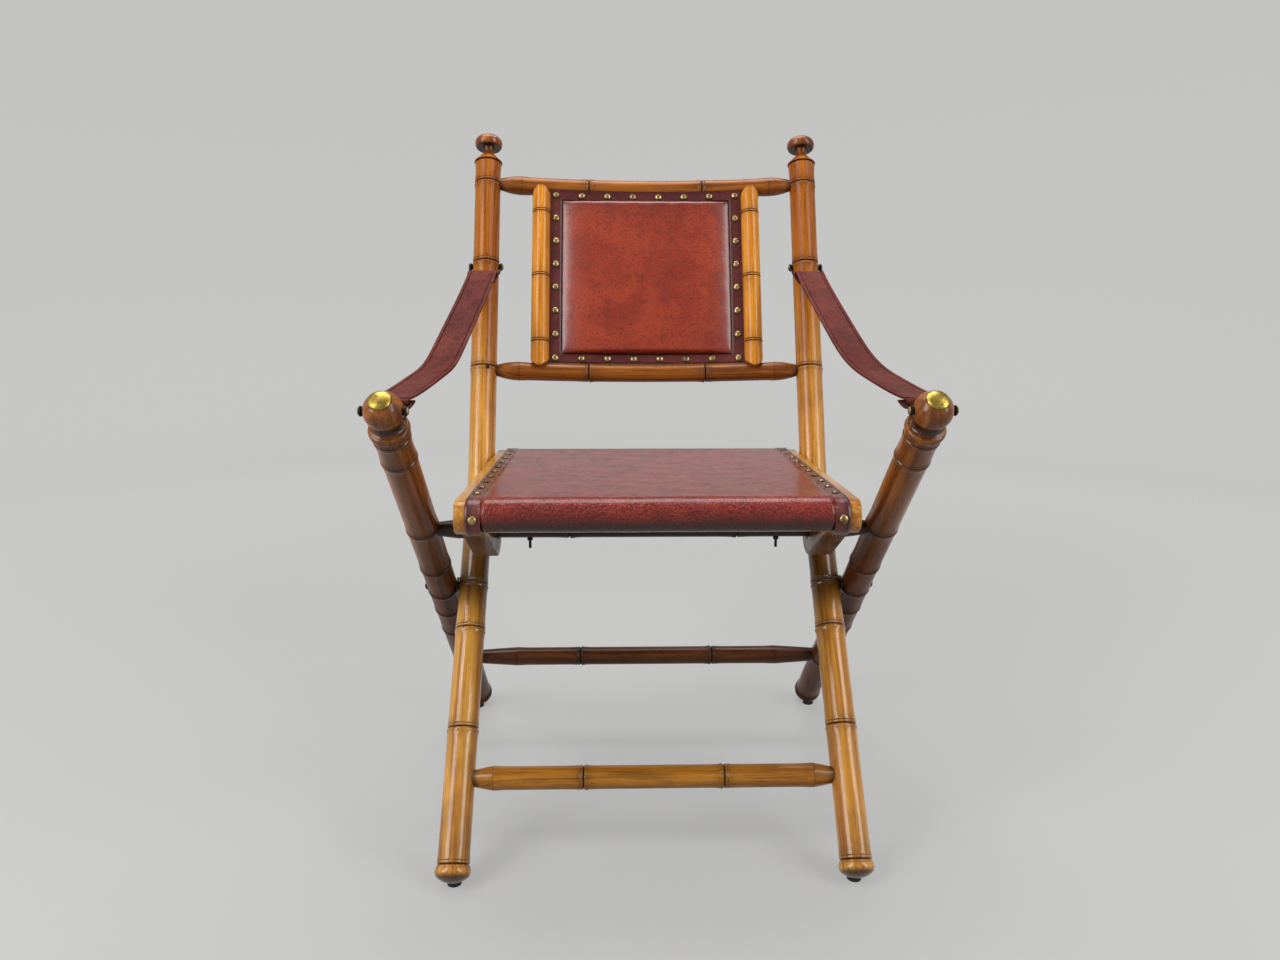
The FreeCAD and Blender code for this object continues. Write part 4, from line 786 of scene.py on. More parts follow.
def back_pad(material):
    """Crowned leather pad: a broad roll at its sides, a tight one above and below, and small puckers."""
    half = INNER_HALF - PAD_GAP
    low, high = PANEL_BOTTOM + BOTTOM_BORDER_WIDTH + PAD_GAP, PANEL_TOP - TOP_BORDER_WIDTH - PAD_GAP
    tall = (high - low) / 2
    across, upward = np.meshgrid(to_edges(88), to_edges(72))
    x, z = across * half, (low + high) / 2 + upward * tall
    side_edge = half * (1 - np.abs(across))
    end_edge = tall * (1 - np.abs(upward))
    edge = np.minimum(side_edge, end_edge)
    roll = quarter_roll(side_edge, PAD_SIDE_ROLL) * quarter_roll(end_edge, PAD_END_ROLL)
    crown = (1 - across ** 2) * (1 - upward ** 2)
    pitch = 2 * math.pi / (2 * INNER_HALF + BORDER_WIDTH) * (BACK_NAIL_ROWS - 1)
    end_reach, side_reach = PAD_PUCKER_REACHES
    pucker = np.exp(-end_edge / end_reach) * np.cos(x * pitch)
    pucker = pucker + np.exp(-side_edge / side_reach) * np.cos((z - low) * pitch)
    front = bow_y(half, PANEL_FACE) - PAD_RISE
    base = bow_y(x, PANEL_FACE)
    ridge = front + PAD_FACE_DROP + PAD_SIDE_DROP * across ** 2 - PAD_CROWN * crown + PAD_PUCKER * pucker
    points = np.stack([x, base + (ridge - base) * roll, z], -1)
    stain_and_shade = 0.75 * fade(edge, PAD_EDGE_SHADE) + 0.3 * fade(side_edge, PAD_SIDE_SHADE)
    stain_and_shade = np.clip(stain_and_shade + 0.35 * fade(high - z, PAD_TOP_SHADE), 0, 1)
    rim = np.concatenate([points[0, :-1], points[:-1, -1], points[-1, :0:-1], points[:0:-1, 0]])
    behind = rim.copy()
    behind[:, 1] = bow_y(rim[:, 0], PANEL_FACE) + 0.5
    skirt = np.stack([rim, behind])
    shape = Shape().grid(local(UPPER, points), points, stain_and_shade, wrap=False, caps=False)
    shape.grid(local(UPPER, skirt), skirt, 1.0, caps=False)
    piece = shape.build("leather_pad", material, "back_frame", ["back_pad"], "back_leather")
    return piece


def rear_cover(material):
    """Leather on the panel's rear: a bowed sheet whose edges are turned down all round."""
    half = PANEL_HALF - REAR_COVER_INSET
    low, high = PANEL_BOTTOM + REAR_COVER_INSET, PANEL_TOP - REAR_COVER_INSET
    x, z = np.meshgrid(np.linspace(-half, half, 60), np.linspace(low, high, 50))
    edge = np.minimum(half - np.abs(x), np.minimum(z - low, high - z))
    y = bow_y(x, -PANEL_FACE - BORDER_THICKNESS * quarter_roll(edge, COVER_ROLL))
    points = np.stack([x, y, z], -1)
    stain_and_shade = 0.6 * fade(edge, COVER_SHADE)
    return Shape().grid(local(UPPER, points), points, stain_and_shade, wrap=False, caps=False).build(
        "leather_rear_cover", material, "back_frame", ["back_rear_cover"], "back_leather")


# Nails and rivets

HEAD_RIM = 0.3


def stud(shape, place, normal, radius, rise, shift):
    """Domed head on a thin skirt: a quarter of an ellipse that stands on a place along a normal, ringed by a
    painted shadow.
    """
    share = np.linspace(0, 1, 8)
    angle = share * math.pi / 2
    height = HEAD_RIM + (rise - HEAD_RIM) * np.sin(angle)
    dome = np.stack([height, np.maximum(radius * 0.97 * np.cos(angle), THINNEST), 0.7 * (1 - share) ** 2], -1)
    # Painted shadow: the skirt and the foot of the dome are darkened round the head.
    skirt = [(-0.6, radius * 0.96, 1.0), (0.0, radius, 1.0), (0.25, radius, 0.6)]
    turned(shape, np.concatenate([skirt, dome]), ray(place, normal), shift)


def back_nails(material):
    """Nails along the middle of the border, spaced evenly along each side."""
    half = INNER_HALF + BORDER_WIDTH / 2
    low = PANEL_BOTTOM + BOTTOM_BORDER_WIDTH / 2
    high = PANEL_TOP + (BORDER_LAP - TOP_BORDER_WIDTH) / 2
    last = BACK_NAIL_ROWS - 1
    shape = Shape()
    places = []
    for index in range(BACK_NAIL_ROWS):
        share = index / last
        x = -half + 2 * half * share
        places += [(x, low), (x, high)]
        if 0 < index < last:
            z = low + (high - low) * share
            places += [(-half, z), (half, z)]
    for number, (x, z) in enumerate(places):
        offset = PANEL_FACE + BORDER_THICKNESS + 0.25 + float(lap_lift(z))
        angle = math.asin(x / (BOW_RADIUS - offset))
        place = local(UPPER, (x, float(bow_y(x, offset)), z))
        normal = direction(UPPER, (-math.sin(angle), -math.cos(angle), 0.0))
        stud(shape, place, normal, BACK_NAIL_RADIUS, BACK_NAIL_RISE, 3.0 * number)
    return shape.build("domed_back_nails", material, "back_frame", ["back_nails"], "brass")


def seat_nails(material):
    """Small nails along each band and a large one on each nose."""
    shape = Shape()
    up = direction(SEAT, (0.0, 0.0, 1.0))
    ahead = direction(SEAT, (0.0, -1.0, 0.0))
    for name, side in SIDES:
        x = side * (BOARD_INNER + BAND_WIDTH / 2)
        for index in range(SEAT_NAILS):
            share = NAIL_END_SHARE + (1 - 2 * NAIL_END_SHARE) * index / (SEAT_NAILS - 1)
            place = local(SEAT, (x, NAILED_START + NAILED_RUN * share, BOARD_TOP + BAND_THICKNESS))
            stud(shape, place, up, SEAT_NAIL_RADIUS, SEAT_NAIL_RISE, 5.0 * index * side)
        place = local(SEAT, (x, -SEAT_FRONT - BAND_THICKNESS, (BOARD_TOP + BOARD_BOTTOM) / 2))
        stud(shape, place, ahead, FRONT_NAIL_RADIUS, FRONT_NAIL_RISE, 17.0 * side)
    return shape.build("domed_seat_nails", material, "seat", ["seat_nails"], "brass")


# Seat


def arc_points(centre, radius, start, end, count):
    """Points (y, z) along an arc between two angles in degrees, measured from +Y towards +Z."""
    turn = np.radians(np.linspace(start, end, count))
    return [(centre[0] + radius * math.cos(angle), centre[1] + radius * math.sin(angle)) for angle in turn]


def side_board(name, side, material):
    """Side board with a rounded nose; its hook is a round lobe joined to the board by straight lines."""
    rail_y, rail_z = RAIL_IN_SEAT[1], RAIL_IN_SEAT[2]
    slot = SEAT_RAIL_RADIUS + SLOT_CLEARANCE
    low = rail_z - SLOT_SAG
    lobe = slot + HOOK_LIP_DEPTH
    run = math.hypot(HOOK_FRONT_RUN, BOARD_BOTTOM - low)
    first = 180 - math.degrees(math.asin((BOARD_BOTTOM - low) / run) - math.acos(lobe / run))
    last = 360 - math.degrees(math.asin(slot / lobe))
    heel = rail_y + math.sqrt(lobe ** 2 - SLOT_SAG ** 2)
    rear = rail_y + HOOK_REAR_RUN
    throat = heel + (rear - heel) * slot / (BOARD_BOTTOM - rail_z)
    nose = BOARD_NOSE_RADIUS
    outline = arc_points((-SEAT_FRONT + nose, BOARD_TOP - nose), nose, 90, 180, 12)
    outline += arc_points((-SEAT_FRONT + nose, BOARD_BOTTOM + nose), nose, 180, 270, 12)
    outline += [(rail_y - HOOK_FRONT_RUN, BOARD_BOTTOM)]
    outline += arc_points((rail_y, low), lobe, first, last, 18)
    outline += arc_points((rail_y, low), slot, 270, 180, 9)
    outline += arc_points((rail_y, rail_z), slot, 180, 90, 9)
    outline += [(throat, rail_z + slot), (rear, BOARD_BOTTOM)]
    outline += [(SEAT_REAR, BOARD_BOTTOM), (SEAT_REAR, BOARD_TOP)]
    outline = np.asarray(outline, float)
    inner = BOARD_INNER if side > 0 else -BOARD_OUTER
    grid = [np.column_stack([np.full(len(outline), x), outline]) for x in (inner, inner + BOARD_WIDTH)]
    grid = np.stack(grid)
    piece = Shape().grid(local(SEAT, grid), grid[..., [0, 2, 1]] + BOARD_GRAIN * side).build(
        "rounded_seat_board_" + name, material, "seat", ["seat_board_" + name], "pale_wood")
    rounded(piece, EDGE_ROUND)
    return piece


def seat_band(name, side, material):
    """Leather band carried along the board's top and round its nose, puckered between its nails."""
    nose = BOARD_NOSE_RADIUS
    path = [(SEAT_REAR, BOARD_TOP)]
    path += [(value, BOARD_TOP) for value in np.linspace(SEAT_REAR - 4, NAILED_START + 4, 150)]
    path += arc_points((NAILED_START, BOARD_TOP - nose), nose, 90, 180, 16)
    path += arc_points((NAILED_START, BOARD_BOTTOM + nose), nose, 180, 268, 14)
    path = np.asarray(path)
    tangent = unit(np.gradient(path, axis=0))
    normal = np.stack([tangent[:, 1], -tangent[:, 0]], -1)
    thick = BAND_THICKNESS
    half = BAND_WIDTH / 2
    line = BAND_LINE - half
    across = np.array((-half, -half, 0.5 - half, line - BAND_LINE_HALF, line, 0.0, half - 1.4, half, half))
    lift = np.array((0.0, thick * 0.7, thick, thick + 0.4, thick - 0.2, thick, thick, thick + 0.3, 0.0))
    stain_and_shade = np.array((1.0, 0.5, 0.1, 0.0, 0.9, 0.1, 0.2, 0.0, 1.0))
    pitch = (1 - 2 * NAIL_END_SHARE) * NAILED_RUN / (SEAT_NAILS - 1)
    phase = (path[:, 0] - NAILED_START - NAIL_END_SHARE * NAILED_RUN) / pitch
    between = np.where(path[:, 0] > NAILED_START, 0.5 - 0.5 * np.cos(2 * math.pi * phase), 0.4)[:, None]
    width = across * (1 - BAND_NARROWING * between)
    height = lift + BAND_PUCKER * (between - 0.5) * (lift > 0)
    out = path[:, None, :] + normal[:, None, :] * height[..., None]
    x = side * (BOARD_INNER + half) - side * width
    grid = np.concatenate([x[..., None], out], -1)
    # Painted shade: the band is darkened round each nail, where it dips.
    stain_and_shade = np.clip(stain_and_shade + 0.25 * (1 - between), 0, 1)
    return Shape().grid(local(SEAT, grid), grid, stain_and_shade).build(
        "leather_band_" + name, material, "seat", ["seat_band_" + name], "band_leather")


def seat_sheet(material):
    """Leather of the seat: taut between the front roll and the rear rail and wrapped round both.

    Its profile is carried across the seat. The middle sags as a half sine lengthwise and a parabola
    across, and a low ridge runs where the top goes over into the roll.
    """
    top = BOARD_TOP + SEAT_PROUD
    bottom = BOARD_BOTTOM + SEAT_RAIL_SHY
    front = -SEAT_FRONT - BAND_THICKNESS
    rear = SEAT_REAR - SEAT_REAR_INSET
    radius = SEAT_ROLL_RADIUS
    half = BOARD_INNER - 0.3
    corner, curl = SEAT_REAR_ROUND, SEAT_REAR_CURL
    path = [(rear - SEAT_CROSS_DEPTH, bottom), (rear - curl, bottom), (rear - 1, bottom + 1)]
    path += [(rear, bottom + curl), (rear, top - corner - 1)]
    path += arc_points((rear - corner, top - corner), corner, 0, 90, 7)
    path += [(value, top) for value in np.linspace(rear - 10, front + radius + 2, 130)]
    path += arc_points((front + radius, top - radius), radius, 90, 180, 16)
    path += arc_points((front + radius, bottom + radius), radius, 180, 270, 16)
    path += [(front + radius + corner, bottom), (front + SEAT_CROSS_DEPTH, bottom)]
    path = np.asarray(path)
    columns = 80
    across = np.linspace(-1, 1, columns)[None, :]
    y = np.repeat(path[:, :1], columns, 1)
    z = np.repeat(path[:, 1:], columns, 1)
    lengthwise = np.clip((y - front) / (rear - front), 0, 1)
    on_top = z > top - 0.01
    middle = 1 - across ** 2
    sag = SEAT_SAG * np.sin(lengthwise * math.pi) * middle ** 0.8
    ripple = np.sin(y / SEAT_RIPPLE_RUN + 2.5 * np.sin(3 * across) + 1.3 * np.sin(y / 31)) * middle
    ridge = SEAT_RIDGE * bell(y - front - radius - 1, SEAT_RIDGE_HALF)
    z = z + np.where(on_top, ridge + SEAT_RIPPLE * ripple - sag, 0.0)
    dent = 0.5 * np.sin(7 * across) * middle + 0.4 * np.sin(17 * across + 1)
    y = y + np.where((y < front + radius) & ~on_top, dent, 0.0)
    grid = np.stack([np.broadcast_to(half * across, y.shape), y, z], -1)
    height = (top - path[:, 1]) / (top - bottom)
    rolled = path[:, 0] < front + radius + 2
    # Painted shade and wear: the front roll darkens towards its bottom, and its lowest edge is left light as
    # a painted highlight line; the top has an even darkening.
    stain_and_shade = np.where(rolled, 0.2 + 0.75 * smooth((height - 0.3) / 0.55), 0.28)
    stain_and_shade = np.where(rolled & (height > 0.93), 0.0, stain_and_shade)
    piece = Shape().grid(local(SEAT, grid), grid, stain_and_shade[:, None], wrap=False, caps=False).build(
        "leather_seat", material, "seat", ["seat_leather"], "seat_leather")
    shell = piece.modifiers.new("skin", "SOLIDIFY")
    shell.thickness = (SEAT_SKIN - 0.2) * MM
    shell.offset = -1
    apply_modifiers(piece)
    return piece


# Arm straps and bails


def strap_ends(side):
    """Centres of the bars that carry a strap, on the ball and on the back post."""
    ball = local(ARM, (side * ARM_HALF_SPREAD, 0.0, ARM_REACH))
    front = ball + np.array((0.0, BALL_BAIL_BACK, BALL_BAIL_UP))
    rear = local(UPPER, (side * HALF_SPREAD, -POST_BAIL_AHEAD, POST_BAIL_REACH))
    return front, rear


def strap_line(side):
    """Centre line from the front bar to the rear bar, and its share of the way from -1 to 1.

    The slope eases from a flat lower run to a steep upper one over the strap's bend. The heights are
    its running sum, evened out along the strap so that the last one meets the rear bar.
    """
    front, rear = strap_ends(side)
    bend_start, bend_end = STRAP_BENDS[side]
    y = np.linspace(front[1], rear[1], 90)
    share = (y - y[0]) / (y[-1] - y[0])
    turn = smooth((y - bend_start) / (bend_end - bend_start))
    slope = STRAP_LOW_SLOPE + (STRAP_HIGH_SLOPE - STRAP_LOW_SLOPE) * turn
    rise = np.concatenate([[0.0], np.cumsum((slope[1:] + slope[:-1]) / 2 * np.diff(y))])
    z = front[2] + rise + (rear[2] - front[2] - rise[-1]) * share
    x = front[0] + (rear[0] - front[0]) * share
    return np.stack([x, y, z], -1), 2 * share - 1


def arm_strap(name, side, material):
    """Leather strap: a hemmed section carried along its centre line, turned back round a bar at each end."""
    front, rear = strap_ends(side)
    line, share = strap_line(side)
    tangent = unit(np.gradient(line, axis=0))
    normal = unit(np.cross(X_AXIS, tangent))
    loop = BAIL_BAR_RADIUS + 0.4 + STRAP_THICKNESS / 2
    line = line + loop * np.abs(share)[:, None] ** 6 * normal
    half = STRAP_WIDTH / 2
    hem = half - STRAP_HEM
    top = STRAP_THICKNESS / 2
    face = top - 0.15
    across = np.array((half, half - 0.3, half - 1.2, hem + HEM_GROOVE_HALF, hem, hem - HEM_GROOVE_HALF))
    lift = np.array((0.0, top - 0.4, top, top, top - HEM_GROOVE_DEPTH, face))
    stain_and_shade = np.array((0.3, 0.0, 0.0, 0.2, 1.0, 0.25))
    inner = np.linspace(3 - hem, hem - 3, 9)
    across = np.concatenate([-across, inner, across[::-1]])
    lift = np.concatenate([lift, 0 * inner + face, lift[::-1]])
    stain_and_shade = np.concatenate([stain_and_shade, 0 * inner + 0.12, stain_and_shade[::-1]])
    across = np.concatenate([across, across[-2:0:-1]])
    lift = np.concatenate([lift, -lift[-2:0:-1]])
    stain_and_shade = np.concatenate([stain_and_shade, stain_and_shade[-2:0:-1]])
    cup = STRAP_CUP * (across / half) ** 2
    points = carried(line, X_AXIS, across, normal, lift + cup)
    flat = np.zeros_like(points)
    flat[..., 0] = across[None, :]
    flat[..., 1] = (share * STRAP_GRAIN_RUN)[:, None]
    flat[..., 2] = lift[None, :] + STRAP_GRAIN * side
    shape = Shape().grid(points, flat, stain_and_shade)
    flank = half - STRAP_EDGE
    rim = np.array((-half, -flank, flank, half, flank, -flank))
    rim_lift = STRAP_TURNED_HALF * np.array((0, 1, 1, 0, -1, -1))
    angle = np.linspace(0, math.pi, 18)[:, None]
    step = np.linspace(3, STRAP_TURNED_END, 7)[:, None]
    for bar, end, inward in ((front, 0, tangent[0]), (rear, -1, -tangent[-1])):
        bow = bar + loop * (np.cos(angle) * normal[end] - np.sin(angle) * inward)
        closing = normal[end] * STRAP_TURNED_CLOSING * (step / STRAP_TURNED_END) ** 2
        tongue = np.concatenate([bow, bow[-1] + inward * step + closing])
        out = np.cross(unit(np.gradient(tongue, axis=0)), X_AXIS)
        shape.grid(carried(tongue, X_AXIS, rim, out, rim_lift), stain_and_shade=0.2)
    piece = shape.build("leather_arm_strap_" + name, material, "back_frame", ["arm_strap_" + name],
                        "strap_leather", ride=False)
    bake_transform(piece)
    return piece


WIRE_SIDES = 12
BAIL_CORNER = 4.0
BAIL_CORNER_RUN = 9.0
BAIL_BAR_SHY = 3.0
EYE_ROUND = 0.8
EYE_BEVEL = 0.5


def tube(shape, line, radius):
    """Round wire along a list of points, in one plane with X."""
    line = np.asarray(line, float)
    tangent = unit(np.gradient(line, axis=0))
    guide = np.array((0.0, line[0][2] - line[-1][2] + 0.3, line[-1][1] - line[0][1] + 1.0))
    guide = unit(guide - tangent * (tangent @ guide)[:, None])
    cos, sin = around(WIRE_SIDES)
    shape.grid(carried(line, guide, radius * cos, np.cross(tangent, guide), radius * sin))


def bail(node, x, rivet, bar, body, material):
    """Wire bail: a flattened eye on each rivet, two arms and the bar that carries the strap."""
    shape = Shape()
    half = BAIL_EYE_THICKNESS / 2
    rim = BAIL_EYE_RADIUS - EYE_ROUND
    eye_rows = [(-half, rim, 0), (EYE_BEVEL - half, BAIL_EYE_RADIUS, 0),
                (half - EYE_BEVEL, BAIL_EYE_RADIUS, 0), (half, rim, 0)]
    for side in (-1, 1):
        eye = np.array((x + side * BAIL_HALF, rivet[1], rivet[2]))
        corner = np.array((x + side * BAIL_HALF, bar[1], bar[2]))
        reach = np.linalg.norm(corner - eye)
        run = (corner - eye) / reach
        turned(shape, eye_rows, ray(eye, X_AXIS[0]), 0.0)
        inward = -side * X_AXIS
        angle = np.linspace(0.2, math.pi / 2, 7)[:, None]
        arm = eye + run * np.linspace(2, reach - BAIL_CORNER, 8)[:, None]
        elbow = corner + BAIL_CORNER * (inward * (1 - np.cos(angle)) - run * (1 - np.sin(angle)))
        tube(shape, np.concatenate([arm, elbow, corner + inward * BAIL_CORNER_RUN]), BAIL_WIRE_RADIUS)
    line = np.tile((x, bar[1], bar[2]), (5, 1)).astype(float)
    line[:, 0] += np.linspace(-1, 1, 5) * (BAIL_HALF - BAIL_BAR_SHY)
    tube(shape, line, BAIL_BAR_RADIUS)
    return shape.build("wire_" + node, material, body, [node], "iron")


def rivets(node, centre_x, rivet, post_radius, body, head_material, collar_material):
    """Round rivet heads outside the eyes, and the dark collars between the eyes and the wood."""
    heads, collars = Shape(), Shape()
    for chair_side in (-1, 1):
        for side in (-1, 1):
            x = chair_side * centre_x
            outside = np.array((x + side * (BAIL_HALF + BAIL_EYE_THICKNESS / 2 + FIT), rivet[1], rivet[2]))
            stud(heads, outside, (side, 0.0, 0.0), RIVET_HEAD_RADIUS, RIVET_HEAD_RISE, 7.0 * side)
            inner = x + side * (post_radius - 1.0)
            outer = x + side * (BAIL_HALF - BAIL_EYE_THICKNESS / 2 - FIT)
            rows = [(0.0, RIVET_HEAD_RADIUS, 1.0), (abs(outer - inner), RIVET_HEAD_RADIUS, 1.0)]
            turned(collars, rows, ray((inner, rivet[1], rivet[2]), side * X_AXIS[0]), 0.0)
    collars.build("collars_of_" + node, collar_material, body)
    return heads.build("round_" + node, head_material, body, [node], "brass")


# Materials

WHITE = (1.0, 1.0, 1.0, 1.0)
DIRT_AND_SHADE_TINT = (0.2, 0.16, 0.13, 1.0)
TARNISH_AND_SHADE_TINT = (0.3, 0.3, 0.3, 1.0)
TINTED_COAT_SHARE = 0.15
WOOD_POLISH = {"Coat Roughness": 0.16, "Specular IOR Level": 0.15}
WOOD_BUMP = (0.16, 0.0004)
LEATHER_BUMP_DEPTH = 0.0006
METAL_BUMP = (0.12, 0.0002)
METAL_CLOUDING = 0.22


def colour(red, green, blue):
    """Linear colour of an sRGB colour given from 0 to 255."""
    return tuple((value / 255 / 12.92) if value <= 10 else ((value / 255 + 0.055) / 1.055) ** 2.4
                 for value in (red, green, blue)) + (1.0,)


def feed(tree, inputs, values):
    """Links or sets inputs, each given by its name or number."""
    for name, value in values.items():
        if isinstance(value, bpy.types.NodeSocket):
            tree.links.new(value, inputs[name])
        else:
            inputs[name].default_value = value


def add(tree, kind, inputs=None, **settings):
    """Adds a node with its settings and inputs."""
    node = tree.nodes.new(kind)
    for name, value in settings.items():
        setattr(node, name, value)
    feed(tree, node.inputs, inputs or {})
    return node


def mix(tree, factor, first, second, blend="MIX"):
    """Mixes two colours."""
    return add(tree, "ShaderNodeMix", {0: factor, 6: first, 7: second},
               data_type="RGBA", blend_type=blend, clamp_factor=True).outputs[2]


def ramp(tree, value, low, high, start=0.0, end=1.0):
    """Maps a value between two limits onto two others, eased."""
    inputs = {"Value": value, "From Min": low, "From Max": high, "To Min": start, "To Max": end}
    return add(tree, "ShaderNodeMapRange", inputs, interpolation_type="SMOOTHSTEP").outputs["Result"]


def maths(tree, operation, first, second=0.0):
    """One sum of two values."""
    return add(tree, "ShaderNodeMath", {0: first, 1: second}, operation=operation).outputs[0]


def noise(tree, vector, scale, detail=3.0, roughness=0.55, distortion=0.0):
    """Cloudy noise from 0 to 1."""
    return add(tree, "ShaderNodeTexNoise", {"Vector": vector, "Scale": scale, "Detail": detail,
                                            "Roughness": roughness, "Distortion": distortion}).outputs[0]


def scaled(tree, vector, x, y, z):
    """Coordinates stretched along each axis."""
    return add(tree, "ShaderNodeMapping", {"Vector": vector, "Scale": (x, y, z)}).outputs[0]


def own_place(tree):
    """The object's own coordinates in metres, which are the chair's at rest."""
    return add(tree, "ShaderNodeTexCoord").outputs["Object"]


def group(name, vectors, values, colours):
    """Node group with its interface, and the sockets inside it; it puts out colour, roughness and height."""
    tree = bpy.data.node_groups.new(name, "ShaderNodeTree")
    kinds = (("NodeSocketVector", vectors), ("NodeSocketFloat", values), ("NodeSocketColor", colours))
    for kind, labels in kinds:
        for label in labels:
            tree.interface.new_socket(label, in_out="INPUT", socket_type=kind)
    for label, kind in (("Color", "NodeSocketColor"), ("Roughness", "NodeSocketFloat"),
                        ("Height", "NodeSocketFloat")):
        tree.interface.new_socket(label, in_out="OUTPUT", socket_type=kind)
    return tree, tree.nodes.new("NodeGroupInput").outputs, tree.nodes.new("NodeGroupOutput").inputs


def wood_group():
    """Varnished hardwood: bands, streaks, fibres and pores along Z, mottling and stained rings, darkened
    towards dirt and painted shade where the mesh says.
    """
    tree, given, result = group("varnished_wood_look", ["Grain"], ["Stain and shade"], ["Light", "Middle", "Dark"])
    grain, dark = given["Grain"], given["Dark"]
    bands = noise(tree, scaled(tree, grain, 75, 75, 2.8), 1.0, 3.0, 0.6, 0.8)
    streaks = noise(tree, scaled(tree, grain, 270, 270, 6.5), 1.0, 4.0, 0.65, 0.4)
    fibres = noise(tree, scaled(tree, grain, 720, 720, 14), 1.0, 3.0, 0.6)
    mottle = noise(tree, scaled(tree, grain, 24, 24, 13), 1.0, 3.0, 0.6, 0.5)
    pores = noise(tree, scaled(tree, grain, 1100, 1100, 55), 1.0, 1.0)
    base = mix(tree, ramp(tree, bands, 0.36, 0.64), given["Middle"], given["Light"])
    for pattern, low, high, depth in ((mottle, 0.5, 0.74, 0.34), (streaks, 0.5, 0.74, 0.42),
                                      (fibres, 0.5, 0.7, 0.5), (pores, 0.62, 0.74, 0.6)):
        base = mix(tree, ramp(tree, pattern, low, high, 0.0, depth), base, dark)
    dirt_and_shade = mix(tree, 1.0, dark, DIRT_AND_SHADE_TINT, "MULTIPLY")
    relief = maths(tree, "ADD", maths(tree, "MULTIPLY", fibres, 0.6), maths(tree, "MULTIPLY", streaks, 0.8))
    feed(tree, result, {"Color": mix(tree, given["Stain and shade"], base, dirt_and_shade), "Height": relief,
                        "Roughness": ramp(tree, mottle, 0.3, 0.7, 0.24, 0.42)})
    return tree


def leather_group():
    """Pebbled leather: rounded cells, fine creases across X, colour worn off the ridges, painted shade in the
    hollows between cells and in the creases, and edges darkened by stain and painted shade.
    """
    tree, given, result = group("pebbled_leather_look", ["Place"], ["Stain and shade", "Pebbles", "Creases", "Gloss"],
                                ["Base", "Worn", "Dark"])
    place, dark = given["Place"], given["Dark"]
    cells = add(tree, "ShaderNodeTexVoronoi", {"Vector": place, "Scale": given["Pebbles"]},
                feature="SMOOTH_F1").outputs["Distance"]
    pebble = ramp(tree, cells, 0.1, 0.62, 1.0, 0.0)
    clouds = noise(tree, place, 16.0, 3.0, 0.6, 0.6)
    grime = noise(tree, place, 60.0, 4.0, 0.7)
    creases = noise(tree, scaled(tree, place, 9, 120, 40), 1.0, 3.0, 0.6, 1.5)
    crease = maths(tree, "MULTIPLY", ramp(tree, creases, 0.56, 0.7), given["Creases"])
    base = mix(tree, ramp(tree, clouds, 0.35, 0.68), given["Base"], given["Worn"])
    base = mix(tree, ramp(tree, grime, 0.5, 0.75, 0.0, 0.45), base, dark)
    # Painted shade: the hollows between the pebbles and the creases are darkened.
    base = mix(tree, maths(tree, "MULTIPLY", ramp(tree, cells, 0.4, 0.75), 0.5), base, dark)
    base = mix(tree, maths(tree, "MULTIPLY", crease, 0.5), base, dark)
    rough = maths(tree, "ADD", ramp(tree, grime, 0.3, 0.7, 0.0, 0.16), given["Gloss"])
    feed(tree, result, {"Color": mix(tree, given["Stain and shade"], base, dark), "Roughness": rough,
                        "Height": maths(tree, "SUBTRACT", pebble, crease)})
    return tree


def new_material(name):
    """A material, its node tree and the inputs of its shader."""
    material = bpy.data.materials.new(name)
    material.use_nodes = True
    tree = material.node_tree
    return material, tree, tree.nodes["Principled BSDF"].inputs


def attributes(tree):
    """The grain's coordinates and the darkening for stains and painted shade that a mesh of this script
    carries.
    """
    grain = add(tree, "ShaderNodeAttribute", attribute_name="grain").outputs["Vector"]
    stain_and_shade = add(tree, "ShaderNodeAttribute", attribute_name="stain_and_shade").outputs["Fac"]
    return grain, stain_and_shade


def bumped(tree, height, strength, distance):
    """Normals bent by a height."""
    inputs = {"Height": height, "Strength": strength, "Distance": distance}
    return add(tree, "ShaderNodeBump", inputs).outputs[0]


def wood(name, light, middle, dark, coat=0.5, turned_mesh=True, tint=None, heights=(0.0, 1.0)):
    """Varnished wood; a tint comes in, and the varnish goes, from the first to the second height."""
    material, tree, shader = new_material(name)
    grain, stain_and_shade = attributes(tree) if turned_mesh else (own_place(tree), 0.0)
    look = add(tree, "ShaderNodeGroup", {
        "Grain": grain, "Stain and shade": stain_and_shade, "Light": colour(*light), "Middle": colour(*middle),
        "Dark": colour(*dark)}, node_tree=WOOD).outputs
    shown, varnish = look["Color"], coat
    if tint:
        height = add(tree, "ShaderNodeSeparateXYZ", {"Vector": own_place(tree)}).outputs["Z"]
        tinted = mix(tree, ramp(tree, height, *heights), WHITE, tint + (1.0,))
        shown = mix(tree, 1.0, shown, tinted, "MULTIPLY")
        varnish = ramp(tree, height, *heights, coat, coat * TINTED_COAT_SHARE)
    feed(tree, shader, {
        "Base Color": shown, "Roughness": look["Roughness"], "Coat Weight": varnish, **WOOD_POLISH,
        "Normal": bumped(tree, look["Height"], *WOOD_BUMP)})
    return material


